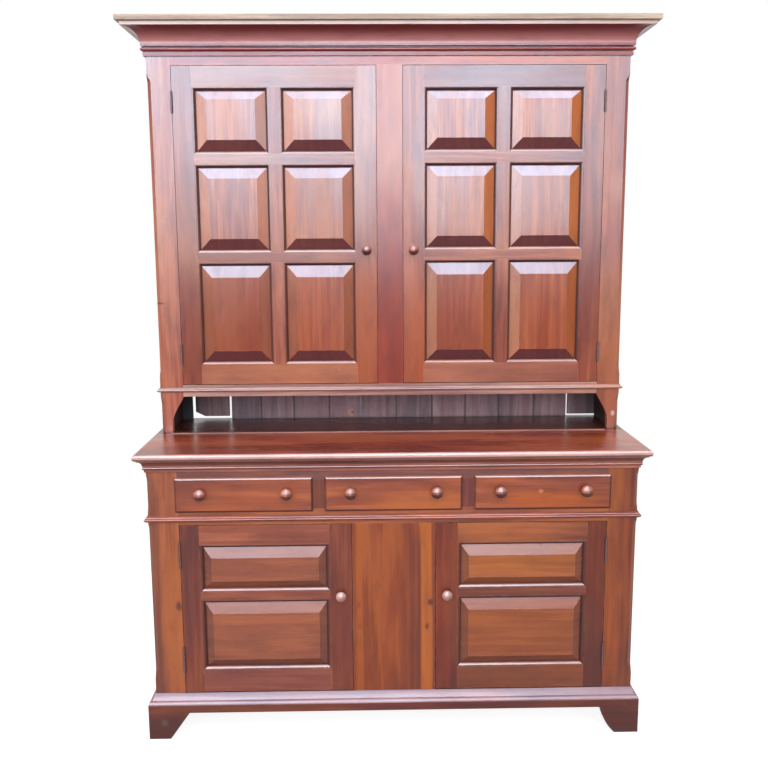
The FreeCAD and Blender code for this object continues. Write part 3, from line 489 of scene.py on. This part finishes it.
# the board's own colours
def woodTones(tree, look, figure):
    shade = calc(tree, "MULTIPLY", figure["cloud"], look["cloudShare"])
    shade = calc(tree, "MULTIPLY_ADD", figure["rings"], look["ringShare"], shade)
    shade = calc(tree, "MULTIPLY_ADD", figure["streak"], look["streakShare"], shade)
    low, high = look["contrast"]
    middle = (low + high) / 2
    colour = mixTones(tree, spread(tree, shade, low, middle), look["dark"], look["middle"])
    colour = mixTones(tree, spread(tree, shade, middle, high), colour, look["light"])
    toCool, toWarm = look["blotch"]
    soft = finishRanges["blotchSoftness"]
    warm = ramp(tree, figure["blotch"], toWarm - soft, toWarm + soft, look["warmShare"])
    colour = mixTones(tree, warm, colour, look["warm"])
    cool = ramp(tree, figure["blotch"], toCool + soft, toCool - soft, look["coolShare"])
    return mixTones(tree, cool, colour, look["cool"])


def addSpots(tree, name, place, colour):
    for centre, size, paint, share in spots.get(name, []):
        spot = useGroup(tree, mark, position=place, centre=centre, size=size, edge=finishRanges["markEdge"])
        colour = mixTones(tree, calc(tree, "MULTIPLY", spot["mask"], share), colour, paint)
    return colour


# painted light and shade on each slope: its paint and share, and where it has one, another paint for low
# down
def shadeSlopes(tree, look, separate, slope, colour):
    for way, (paint, share, *lowPaint) in look["facings"].items():
        if lowPaint:
            height = spread(tree, separate.outputs["Z"], *finishRanges["lowPaint"])
            paint = mixTones(tree, height, lowPaint[0], paint)
        colour = mixTones(tree, calc(tree, "MULTIPLY", slope[way], share), colour, paint)
    return colour


# what years of use left: specks, open pores and rubbed edges, and painted shade in the corners
def addAgeAndCreviceShade(tree, look, figure, wearAndShade, colour):
    for mask, share, paint in (
            (figure["mottle"], "mottleShare", "grimeAndShade"), (figure["pores"], "poreShare", "grimeAndShade"),
            (wearAndShade["rubbed"], "rubbedShare", "rubbedTone"), (wearAndShade["crevice"], "creviceShadeShare", "grimeAndShade")):
        colour = mixTones(tree, calc(tree, "MULTIPLY", mask, look[share]), colour, look[paint])
    return colour


def coatWeight(tree, look, separate, figure, slope, sideways):
    thin, thick = look["coat"]
    coat = spread(tree, figure["cloud"], *finishRanges["coating"], thick, thin)
    for way, share in look["matte"].items():
        coat = dim(tree, coat, slope[way], share)
    coat = dim(tree, coat, sideways, look["sideMatte"])
    if look["fade"]:
        low, high, least = look["fade"]
        coat = calc(tree, "MULTIPLY", coat, spread(tree, separate.outputs["Z"], low, high, least, 1.0))
    return coat


# One wooden node's material. The grain runs up, across or along a moulding's mitred runs.
def dressWood(name, grain, *palettes, cuts=(), extra=None, **changes):
    look = dict(varnish)
    for palette in (*palettes, changes):
        look.update(palette)
    material, tree = startMaterial(name + "Finish")
    coordinates = addNode(tree, "ShaderNodeTexCoord")
    place, normal = coordinates.outputs["Object"], coordinates.outputs["Normal"]
    separate = addNode(tree, "ShaderNodeSeparateXYZ")
    feed(tree, separate.inputs[0], place)
    figure = useGroup(tree, woodFigure, position=grainPosition(tree, separate, grain),
                      board=boardNumber(tree, separate, cuts), ringPitch=look["ringPitch"],
                      wander=look["wander"])
    wearAndShade = useGroup(tree, edgeWearAndShade, position=place, width=look["edgeWidth"])
    slope = useGroup(tree, facing, normal=normal)
    low, high = finishRanges["outerSide"]
    outer = useGroup(tree, facing, normal=normal, low=low, high=high)
    sideways = calc(tree, "ADD", outer["left"], outer["right"])

    colour = woodTones(tree, look, figure)
    if extra:
        colour = extra(tree, separate, figure, colour)
    colour = addSpots(tree, name, place, colour)
    colour = shadeSlopes(tree, look, separate, slope, colour)
    colour = addAgeAndCreviceShade(tree, look, figure, wearAndShade, colour)

    # the outer sides were rubbed duller than the front
    worn = calc(tree, "ADD", figure["cloud"], wearAndShade["rubbed"])
    roughness = spread(tree, worn, *finishRanges["dulling"], *look["roughness"])
    dullSide = calc(tree, "MULTIPLY", sideways, look["sideRoughness"])
    bump = addNode(tree, "ShaderNodeBump")
    bump.inputs["Distance"].default_value = look["relief"]
    height = calc(tree, "MULTIPLY_ADD", figure["pores"], finishRanges["poreDepth"], figure["streak"])
    feed(tree, bump.inputs["Height"], height)
    shader = addNode(tree, "ShaderNodeBsdfPrincipled")
    feed(tree, shader.inputs["Base Color"], colour)
    feed(tree, shader.inputs["Roughness"], calc(tree, "MAXIMUM", roughness, dullSide))
    feed(tree, shader.inputs["Normal"], bump.outputs["Normal"])
    shader.inputs["Specular IOR Level"].default_value = look["specular"]
    if max(look["coat"]) > 0.0:
        feed(tree, shader.inputs["Coat Weight"], coatWeight(tree, look, separate, figure, slope, sideways))
    shader.inputs["Coat Roughness"].default_value = look["coatRoughness"]
    shader.inputs["Coat IOR"].default_value = look["coatIor"]
    putOut(tree, shader.outputs[0])
    wearOn(name, material)


# the centre board has a strip of sapwood down each side
sapwood = {
    "left": (-0.112, -0.092, tone(184, 94, 30)), "right": (0.077, 0.113, tone(214, 114, 36)),
    "edge": 0.005, "waver": 0.01, "streakShare": 0.35, "share": 0.85,
}


def addSapwood(tree, separate, figure, colour):
    drift = calc(tree, "MULTIPLY", calc(tree, "SUBTRACT", figure["cloud"], 0.5), sapwood["waver"])
    x = calc(tree, "ADD", separate.outputs["X"], drift)
    edge = sapwood["edge"]
    for side in ("left", "right"):
        low, high, paint = sapwood[side]
        inside = calc(tree, "MULTIPLY", spread(tree, x, low - edge, low + edge),
                      spread(tree, x, high + edge, high - edge))
        streaks = calc(tree, "MULTIPLY", figure["streak"], sapwood["streakShare"])
        streaked = mixTones(tree, streaks, paint, colour)
        colour = mixTones(tree, calc(tree, "MULTIPLY", inside, sapwood["share"]), colour, streaked)
    return colour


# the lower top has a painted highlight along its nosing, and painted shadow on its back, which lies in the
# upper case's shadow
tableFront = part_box("lower_top")[0].y
tableLook = {
    "nosingHighlight": (tableFront + 0.009, tableFront + 0.004, 0.75), "nosingHighlightTone": tone(244, 194, 180),
    "behind": (upperFace - 0.021, upperFace - 0.012, 0.85), "behindTone": tone(46, 12, 4),
}


def shadeTable(tree, separate, figure, colour):
    for part in ("nosingHighlight", "behind"):
        share = ramp(tree, separate.outputs["Y"], *tableLook[part])
        colour = mixTones(tree, share, colour, tableLook[part + "Tone"])
    return colour


# the feet are darker than the boards between them
feetLook = {"low": (0.1, 0.05, 0.8), "paint": tone(86, 33, 25)}


def shadeFeet(tree, separate, figure, colour):
    return mixTones(tree, ramp(tree, separate.outputs["Z"], *feetLook["low"]), colour, feetLook["paint"])


# the back boards lie in shadow at both ends, with dark joints between them
backLook = {
    "left": ((-0.655, -0.675, 0.6), (-0.3, -0.62, 0.35)), "leftTone": tone(26, 18, 22),
    "joint": (0.004, 0.0015, 0.75), "jointTone": tone(44, 28, 32),
    "right": ((0.625, 0.64, 0.35), (0.2, 0.6, 0.1)), "rightTone": tone(34, 20, 20),
}


def shadeBackEnds(tree, separate, figure, colour):
    x = separate.outputs["X"]

    def shadeEnd(side, colour):
        near, far = (ramp(tree, x, *part) for part in backLook[side])
        return mixTones(tree, calc(tree, "ADD", near, far), colour, backLook[side + "Tone"])

    colour = shadeEnd("left", colour)
    for cut in cutsAlong("upper_backboards", "X"):
        away = calc(tree, "ABSOLUTE", calc(tree, "SUBTRACT", x, cut))
        colour = mixTones(tree, ramp(tree, away, *backLook["joint"]), colour, backLook["jointTone"])
    return shadeEnd("right", colour)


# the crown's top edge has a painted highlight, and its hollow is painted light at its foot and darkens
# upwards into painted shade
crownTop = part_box("crown_moulding")[1].z
crownLook = {
    "stain": tone(152, 24, 0), "stainShare": 0.75,
    "hollow": (crownTop - 0.058, crownTop - 0.054, 0.8), "depth": (crownTop - 0.054, crownTop - 0.014),
    "hollowLitTone": tone(206, 138, 134), "hollowShadeTone": tone(112, 52, 56),
    "edge": (crownTop - 0.0125, crownTop - 0.0115, 0.75), "edgeHighlightTone": tone(232, 184, 156),
}


def shadeCrown(tree, separate, figure, colour):
    z = separate.outputs["Z"]
    colour = mixTones(tree, crownLook["stainShare"], colour, crownLook["stain"])
    depth = spread(tree, z, *crownLook["depth"])
    inHollow = mixTones(tree, depth, crownLook["hollowLitTone"], crownLook["hollowShadeTone"])
    colour = mixTones(tree, ramp(tree, z, *crownLook["hollow"]), colour, inHollow)
    return mixTones(tree, ramp(tree, z, *crownLook["edge"]), colour, crownLook["edgeHighlightTone"])


# the inner faces of the upper sides lie in the dark
insideLook = {"depth": (halfUpper - 0.012, halfUpper - 0.018, 0.9), "paint": tone(34, 20, 20)}


def shadeInside(tree, separate, figure, colour):
    across = calc(tree, "ABSOLUTE", separate.outputs["X"])
    return mixTones(tree, ramp(tree, across, *insideLook["depth"]), colour, insideLook["paint"])


# knots, plugs, stains and some painted shade and sheen: centre, half size, colour and strength
knot = tone(92, 42, 26)
stain = tone(206, 112, 48)
spots = {
    "lower_stile_left": [((-0.72, lowerFace, 0.45), (0.022, 0.1, 0.5), tone(104, 56, 42), 0.5),
                         ((-0.66, lowerFace, 0.36), (0.034, 0.1, 0.24), stain, 0.65),
                         ((-0.648, lowerFace, 0.419), (0.009, 0.03, 0.014), knot, 0.8)],
    "centre_board": [((0.11, lowerFace, 0.422), (0.008, 0.03, 0.01), knot, 0.85),
                     ((0.1, lowerFace, 0.345), (0.006, 0.03, 0.01), knot, 0.7),
                     ((-0.108, lowerFace, 0.415), (0.007, 0.03, 0.01), knot, 0.35),
                     ((-0.105, lowerFace, 0.348), (0.006, 0.03, 0.009), knot, 0.3)],
    "middle_drawer_front": [((0.1, lowerFace, 0.735), (0.13, 0.1, 0.03), stain, 0.5)],
    "right_drawer_front": [((0.47, lowerFace, 0.74), (0.15, 0.1, 0.03), tone(206, 98, 20), 0.6),
                           ((0.437, lowerFace, 0.767), (0.007, 0.03, 0.006), tone(222, 130, 86), 0.9)],
    "lower_right_door_panels": [((0.38, lowerFace, 0.35), (0.26, 0.1, 0.12), tone(140, 68, 8), 0.35),
                                ((0.38, lowerFace, 0.57), (0.26, 0.1, 0.06), tone(196, 116, 10), 0.35),
                                ((0.442, lowerFace, 0.598), (0.003, 0.03, 0.009), tone(60, 30, 26), 0.8)],
    "upper_stile_left": [((-0.73, upperFace, 1.31), (0.013, 0.03, 0.003), tone(96, 50, 48), 0.8)],
    "upper_stile_right": [((0.7, upperFace, 1.85), (0.1, 0.1, 0.2), tone(146, 78, 70), 0.3),
                          ((0.7, upperFace, 1.25), (0.1, 0.1, 0.2), tone(214, 136, 84), 0.45),
                          ((0.71, upperFace, 0.95), (0.1, 0.1, 0.12), tone(152, 68, 38), 0.6),
                          ((0.722, upperFace, 0.944), (0.006, 0.03, 0.008), tone(228, 196, 186), 0.8)],
    "upper_left_door_panels": [((-0.51, upperFace, 1.26), (0.1, 0.1, 0.2), tone(96, 40, 26), 0.55),
                               ((-0.35, upperFace, 1.2), (0.4, 0.1, 0.26), tone(168, 66, 0), 0.55),
                               ((-0.2, upperFace, 1.98), (0.13, 0.1, 0.12), tone(232, 170, 130), 0.35),
                               ((-0.2, upperFace, 1.66), (0.13, 0.1, 0.16), tone(138, 70, 46), 0.4)],
    "upper_right_door_panels": [((0.35, upperFace, 1.2), (0.4, 0.1, 0.26), tone(164, 66, 0), 0.55),
                                ((0.35, upperFace, 1.62), (0.4, 0.1, 0.12), tone(226, 168, 146), 0.25)],
    "lower_stile_right": [((0.66, lowerFace, 0.4), (0.04, 0.1, 0.4), tone(176, 84, 28), 0.25)],
    # the darker patches high on the upper doors' rails are painted shade, the pale ones low on them a
    # painted sheen
    "upper_left_door_rails": [((-0.35, upperFace, 1.08), (0.34, 0.1, 0.05), tone(212, 138, 100), 0.45),
                              ((-0.38, upperFace, 2.0), (0.32, 0.1, 0.05), tone(116, 54, 46), 0.35)],
    "upper_right_door_rails": [((0.35, upperFace, 1.08), (0.34, 0.1, 0.05), tone(170, 112, 94), 0.4),
                               ((0.38, upperFace, 2.0), (0.32, 0.1, 0.05), tone(112, 32, 8), 0.65)],
    "upper_left_door_stiles": [((-0.63, upperFace, 1.62), (0.08, 0.1, 0.12), tone(126, 64, 54), 0.4),
                               ((-0.63, upperFace, 1.25), (0.08, 0.1, 0.22), tone(132, 58, 34), 0.45),
                               ((-0.08, upperFace, 1.2), (0.05, 0.1, 0.24), tone(196, 98, 40), 0.6)],
    "upper_right_door_stiles": [((0.63, upperFace, 1.25), (0.08, 0.1, 0.22), tone(138, 60, 34), 0.4),
                                ((0.09, upperFace, 1.16), (0.05, 0.1, 0.2), tone(178, 78, 12), 0.7)],
    "upper_centre_stile": [((0.0, upperFace, 1.3), (0.1, 0.1, 0.3), tone(158, 52, 26), 0.5)],
    "lower_right_door_rails": [((0.38, lowerFace, 0.18), (0.32, 0.1, 0.05), tone(98, 38, 28), 0.6)],
    "lower_left_door_rails": [((-0.38, lowerFace, 0.18), (0.32, 0.1, 0.05), tone(112, 56, 60), 0.45)],
    "lower_left_door_panels": [((-0.38, lowerFace, 0.45), (0.26, 0.1, 0.26), tone(200, 118, 80), 0.3)],
    "lower_right_door_stiles": [((0.61, lowerFace, 0.4), (0.06, 0.1, 0.4), tone(76, 26, 18), 0.45)],
    "upper_backboards": [((-0.132, boardFace, 0.911), (0.012, 0.05, 0.011), tone(216, 150, 112), 0.7)],
    "base_boards": [((-0.702, lowerFace, 0.053), (0.011, 0.05, 0.011), tone(116, 94, 72), 0.5)],
}

lowerRun = (halfLower, lowerFace)
upperRun = (halfUpper, upperFace)

# lower case
dressWood("lower_stile_left", "up")
dressWood("lower_stile_right", "up", rightCaseStileTones)
dressWood("lower_top_rail", "across", railTones)
dressWood("drawer_rail", "across")
dressWood("lower_bottom_rail", "across")
dressWood("drawer_dividers", "up", lowerStileTones, cuts=leftAndRight)
dressWood("centre_board", "up", centreTones, extra=addSapwood)
dressWood("lower_top", "across", tableTones, extra=shadeTable)
dressWood("lower_sides", "up", cuts=leftAndRight)
dressWood("top_moulding", lowerRun, mouldingTones)
dressWood("mid_bead", lowerRun, beadTones)
dressWood("base_boards", lowerRun, baseTones, extra=shadeFeet)
dressWood("base_moulding", lowerRun, baseMouldingSheenTones)
for name, stileTones, doorTones, panelLightAndShade in (
        ("lower_left_door", lowerStileTones, leftRailTones, lowerPanelLightAndShade),
        ("lower_right_door", rightStileTones, rightDoorTones, rightPanelLightAndShade)):
    for part, grain, axis, tones, facings in (
            (name + "_stiles", "up", "X", stileTones, frameLightAndShade),
            (name + "_rails", "across", "Z", doorTones, frameLightAndShade),
            (name + "_panels", "across", "Z", lowerPanelLook, panelLightAndShade)):
        dressWood(part, grain, tones, cuts=boardCuts(part, axis), facings=facings)
for name, warmth in (("left_drawer", 0.25), ("middle_drawer", 0.45), ("right_drawer", 0.8)):
    dressWood(name + "_front", "across", drawerTones, facings=drawerLightAndShade, warmShare=warmth)
    dressWood(name + "_box", "across", plain)
print("lower case dressed")

# upper case
dressWood("upper_stile_left", "up", upperStileSheenTones, glossy)
dressWood("upper_stile_right", "up", upperStileSheenTones, glossy)
dressWood("upper_centre_stile", "up", centreStileTones, glossy)
dressWood("upper_top_rail", "across", friezeTones, glossy)
dressWood("upper_bottom_rail", "across", waistSheenTones, glossy)
dressWood("upper_sides", "up", upperTones, glossy, cuts=leftAndRight, extra=shadeInside, coat=(0.05, 0.15))
dressWood("crown_moulding", upperRun, crownTones, glossy, extra=shadeCrown)
dressWood("waist_bead", upperRun, waistSheenTones, glossy)
for name in ("upper_left_door", "upper_right_door"):
    for part, grain, axes, tones, facings in (
            (name + "_stiles", "up", "X", upperTones, frameLightAndShade),
            (name + "_rails", "across", "Z", upperTones, frameLightAndShade),
            (name + "_panels", "up", "XZ", upperPanelTones, upperPanelLightAndShade[name])):
        dressWood(part, grain, tones, glossy, cuts=boardCuts(part, axes), facings=facings)
print("upper case dressed")

# unvarnished wood
stripTones = {"dark": tone(150, 96, 84), "middle": tone(186, 126, 112), "light": tone(208, 150, 134)}
dressWood("upper_top_board", "across", bare)
dressWood("locating_strip", "across", bare, stripTones)
dressWood("upper_backboards", "up", plain, backTones, cuts=boardCuts("upper_backboards", "X"),
          extra=shadeBackEnds)
dressWood("lower_backboards", "up", plain, cuts=boardCuts("lower_backboards", "X"))
for name in ("upper_shelves", "lower_shelves", "upper_floor_board"):
    dressWood(name, "across", plain, cuts=boardCuts(name, "Z"))
dressWood("drawer_runners", "across", plain)
dressWood("foot_blocks", "up", plain)
print("plain boards dressed")

# turned knobs with a painted highlight above and painted shade below; the lower doors' two are painted
# paler, with a painted reflection on their lower halves
turnedWood = {
    "dark": tone(132, 58, 44), "middle": tone(170, 88, 64), "light": tone(200, 114, 84), "coolShare": 0.0,
    "specular": 0.25, "coat": (0.22, 0.32), "roughness": (0.34, 0.44), "coatRoughness": 0.34,
    "rubbedShare": 0.0, "matte": {"down": 0.9}, "sideMatte": 0.0, "sideRoughness": 0.0,
    "facings": {
        "down": (tone(56, 26, 26), 0.85), "right": (tone(88, 40, 36), 0.6),
        "up": (tone(230, 160, 136), 0.45),
    },
}
highlightedKnob = {
    "dark": tone(176, 112, 100), "middle": tone(204, 146, 132), "light": tone(226, 172, 158),
    "coat": (0.35, 0.45),
    "facings": {
        "down": (tone(192, 128, 116), 0.5), "right": (tone(150, 88, 78), 0.4),
        "up": (tone(240, 196, 180), 0.4),
    },
}
for name in sorted(nodes):
    if name.endswith(("_knob", "_knobs")):
        knobHighlight = highlightedKnob if name.startswith("lower") else {}
        dressWood(name, "up", turnedWood, knobHighlight, cuts=boardCuts(name, "X"))
print("knobs dressed")

# aged iron hinges
hingeIron = {
    "dark": tone(82, 42, 36), "rust": tone(122, 66, 50), "relief": 0.0002, "rusting": (0.45, 0.7),
    "metallic": 0.25, "rustDulls": 0.2, "roughness": (0.45, 0.7), "roughening": (0.3, 0.7),
    "patches": {"scale": 160.0, "detail": 4.0, "roughness": 0.6}, "pits": {"scale": 900.0, "detail": 2.0},
}


def dressIron(name):
    material, tree = startMaterial(name + "Iron")
    place = addNode(tree, "ShaderNodeTexCoord").outputs["Object"]
    patches = noise(tree, place, hingeIron["patches"])
    rusty = spread(tree, patches, *hingeIron["rusting"])
    shader = addNode(tree, "ShaderNodeBsdfPrincipled")
    feed(tree, shader.inputs["Base Color"], mixTones(tree, rusty, hingeIron["dark"], hingeIron["rust"]))
    lost = calc(tree, "MULTIPLY", rusty, hingeIron["rustDulls"])
    feed(tree, shader.inputs["Metallic"], calc(tree, "SUBTRACT", hingeIron["metallic"], lost))
    roughness = spread(tree, patches, *hingeIron["roughening"], *hingeIron["roughness"])
    feed(tree, shader.inputs["Roughness"], roughness)
    bump = addNode(tree, "ShaderNodeBump")
    bump.inputs["Distance"].default_value = hingeIron["relief"]
    feed(tree, bump.inputs["Height"], noise(tree, place, hingeIron["pits"]))
    feed(tree, shader.inputs["Normal"], bump.outputs["Normal"])
    putOut(tree, shader.outputs[0])
    wearOn(name, material)


for name in sorted(nodes):
    if "hinge" in name:
        dressIron(name)
print("hinges dressed")


# what the camera sees, directly or in a reflection
def seenDirectly(tree):
    seen = addNode(tree, "ShaderNodeLightPath").outputs
    direct = calc(tree, "ADD", seen["Is Camera Ray"], seen["Is Glossy Ray"], clamp=True)
    return calc(tree, "ADD", direct, seen["Is Transmission Ray"], clamp=True)


# floor: white to the camera and in reflections, with a faint shadow near the feet
floorLook = {
    "halfSize": 40.0, "body": tone(196, 194, 190), "seenBody": 0.45, "glow": 0.88, "farGlow": 1.0,
    "fadeFrom": 1.3, "fadeTo": 2.6,
}


def makeFloor():
    bpy.ops.object.select_all(action="DESELECT")
    bpy.ops.mesh.primitive_plane_add(size=2 * floorLook["halfSize"], location=(0.0, 0.0, 0.0))
    floor = bpy.context.active_object
    floor.name = "studioFloor"
    material, tree = startMaterial("floorFinish")
    place = addNode(tree, "ShaderNodeTexCoord").outputs["Object"]
    far = spread(tree, vectorCalc(tree, "LENGTH", place), floorLook["fadeFrom"], floorLook["fadeTo"])
    direct = seenDirectly(tree)
    matte = addNode(tree, "ShaderNodeBsdfDiffuse")
    near = calc(tree, "SUBTRACT", 1.0, far)
    seenBody = calc(tree, "MULTIPLY", near, floorLook["seenBody"])
    feed(tree, matte.inputs["Color"], mixTones(tree, direct, floorLook["body"], seenBody))
    glow = addNode(tree, "ShaderNodeEmission")
    strength = spread(tree, far, 0.0, 1.0, floorLook["glow"], floorLook["farGlow"])
    feed(tree, glow.inputs["Strength"], calc(tree, "MULTIPLY", strength, direct))
    both = addNode(tree, "ShaderNodeAddShader")
    feed(tree, both.inputs[0], matte.outputs[0])
    feed(tree, both.inputs[1], glow.outputs[0])
    putOut(tree, both.outputs[0])
    floor.data.materials.append(material)


makeFloor()

# world: a white room to the camera and in reflections, a quiet fill for the rest
worldLook = {"fill": (0.36, 0.37, 0.40, 1.0), "seen": (1.0, 1.0, 1.0, 1.0)}


def makeWorld():
    world = bpy.data.worlds.new("studioWorld")
    bpy.context.scene.world = world
    world.use_nodes = True
    tree = world.node_tree
    tree.nodes.clear()
    sky = addNode(tree, "ShaderNodeBackground")
    room = mixTones(tree, seenDirectly(tree), worldLook["fill"], worldLook["seen"])
    feed(tree, sky.inputs["Color"], room)
    putOut(tree, sky.outputs[0], "ShaderNodeOutputWorld")


makeWorld()

# soft lamps for the diffuse light: glow is the radiance of each panel
softboxes = {
    "frontSoftbox": {"place": (0.15, -6.0, 4.7), "size": (7.0, 5.9), "glow": 2.6, "aim": (0.15, 0.0, 4.7),
                     "colour": (0.93, 0.95, 1.0)},
    "leftSoftbox": {"place": (-5.0, -2.5, 2.6), "size": (3.0, 3.6), "glow": 1.6, "aim": (0.0, 0.0, 1.1),
                    "colour": (1.0, 0.98, 0.95)},
    "rightSoftbox": {"place": (5.0, -2.5, 2.6), "size": (3.0, 3.6), "glow": 1.0, "aim": (0.0, 0.0, 1.1),
                     "colour": (1.0, 0.98, 0.95)},
    "backSoftbox": {"place": (0.0, 5.0, 3.2), "size": (5.0, 3.0), "glow": 1.6, "aim": (0.0, 0.0, 1.1),
                    "colour": (1.0, 1.0, 1.0)},
}

# far cards that only show in reflections: degrees to the right of the front and above level
skyCards = {
    "skyCard": {"across": (-30.0, 15.0), "up": (6.0, 30.0), "glow": 22.0, "colour": (0.57, 0.79, 1.0)},
    "skyLowCard": {"across": (-30.0, 15.0), "up": (0.5, 6.0), "glow": 15.0, "colour": (0.62, 0.84, 1.0)},
    "skyLeftCard": {"across": (-50.0, -30.0), "up": (0.5, 30.0), "glow": 11.0, "colour": (0.65, 0.84, 1.0)},
    "skyRightCard": {"across": (15.0, 24.0), "up": (1.0, 30.0), "glow": 10.0, "colour": (0.6, 0.82, 1.0)},
    "skyHighCard": {"across": (-40.0, 30.0), "up": (30.0, 62.0), "glow": 22.0, "colour": (0.62, 0.8, 1.0)},
    "skyTopCard": {"across": (-60.0, 60.0), "up": (62.0, 88.0), "glow": 8.0, "colour": (0.72, 0.86, 1.0)},
}
skyDistance = 20.0
skyCentre = Vector((0.0, 0.0, 1.5))


def makeLamp(name, place, aim, size, glow, colour):
    width, height = size
    lamp = bpy.data.lights.new(name, "AREA")
    lamp.shape = "RECTANGLE"
    lamp.size = width
    lamp.size_y = height
    lamp.energy = glow * math.pi * width * height
    lamp.color = colour
    holder = bpy.data.objects.new(name, lamp)
    bpy.context.scene.collection.objects.link(holder)
    holder.location = place
    holder.rotation_euler = (Vector(aim) - Vector(place)).to_track_quat("-Z", "Y").to_euler()
    holder.visible_camera = False
    return holder


def makeSkyCard(name, look):
    left, right = (math.radians(angle) for angle in look["across"])
    low, high = (math.radians(angle) for angle in look["up"])
    turn, rise = (left + right) / 2, (low + high) / 2
    toward = Vector((math.sin(turn) * math.cos(rise), -math.cos(turn) * math.cos(rise), math.sin(rise)))
    size = (2 * skyDistance * math.tan((right - left) / 2) * math.cos(rise),
            2 * skyDistance * math.tan((high - low) / 2))
    holder = makeLamp(name, skyCentre + skyDistance * toward, skyCentre, size, look["glow"], look["colour"])
    holder.visible_diffuse = False


for name, look in softboxes.items():
    softbox = makeLamp(name, look["place"], look["aim"], look["size"], look["glow"], look["colour"])
    softbox.visible_glossy = False
for name, look in skyCards.items():
    makeSkyCard(name, look)
print("floor, world and lamps made")

# camera: angles in degrees, focal length in pixels of an image this wide
cameraLook = {
    "place": (-0.0722, -2.8493, 1.5102), "down": 9.1257, "right": 1.0024, "roll": 0.3297,
    "focalPixels": 908.2, "imageWidth": 768, "sensor": 36.0, "reach": 200.0,
}


def makeCamera():
    down, turn, roll = (math.radians(cameraLook[key]) for key in ("down", "right", "roll"))
    forward = Vector((math.sin(turn) * math.cos(down), math.cos(turn) * math.cos(down), -math.sin(down)))
    levelRight = Vector((math.cos(turn), -math.sin(turn), 0.0))
    levelUp = levelRight.cross(forward)
    right = levelRight * math.cos(roll) - levelUp * math.sin(roll)
    up = levelRight * math.sin(roll) + levelUp * math.cos(roll)
    data = bpy.data.cameras.new("viewCamera")
    data.sensor_width = cameraLook["sensor"]
    data.lens = cameraLook["focalPixels"] / cameraLook["imageWidth"] * cameraLook["sensor"]
    data.clip_end = cameraLook["reach"]
    camera = bpy.data.objects.new("viewCamera", data)
    bpy.context.scene.collection.objects.link(camera)
    axes = Matrix((right, up, -forward)).transposed().to_4x4()
    camera.matrix_world = Matrix.Translation(Vector(cameraLook["place"])) @ axes
    bpy.context.scene.camera = camera


makeCamera()
bpy.context.scene.view_settings.view_transform = "Standard"
print("camera made")
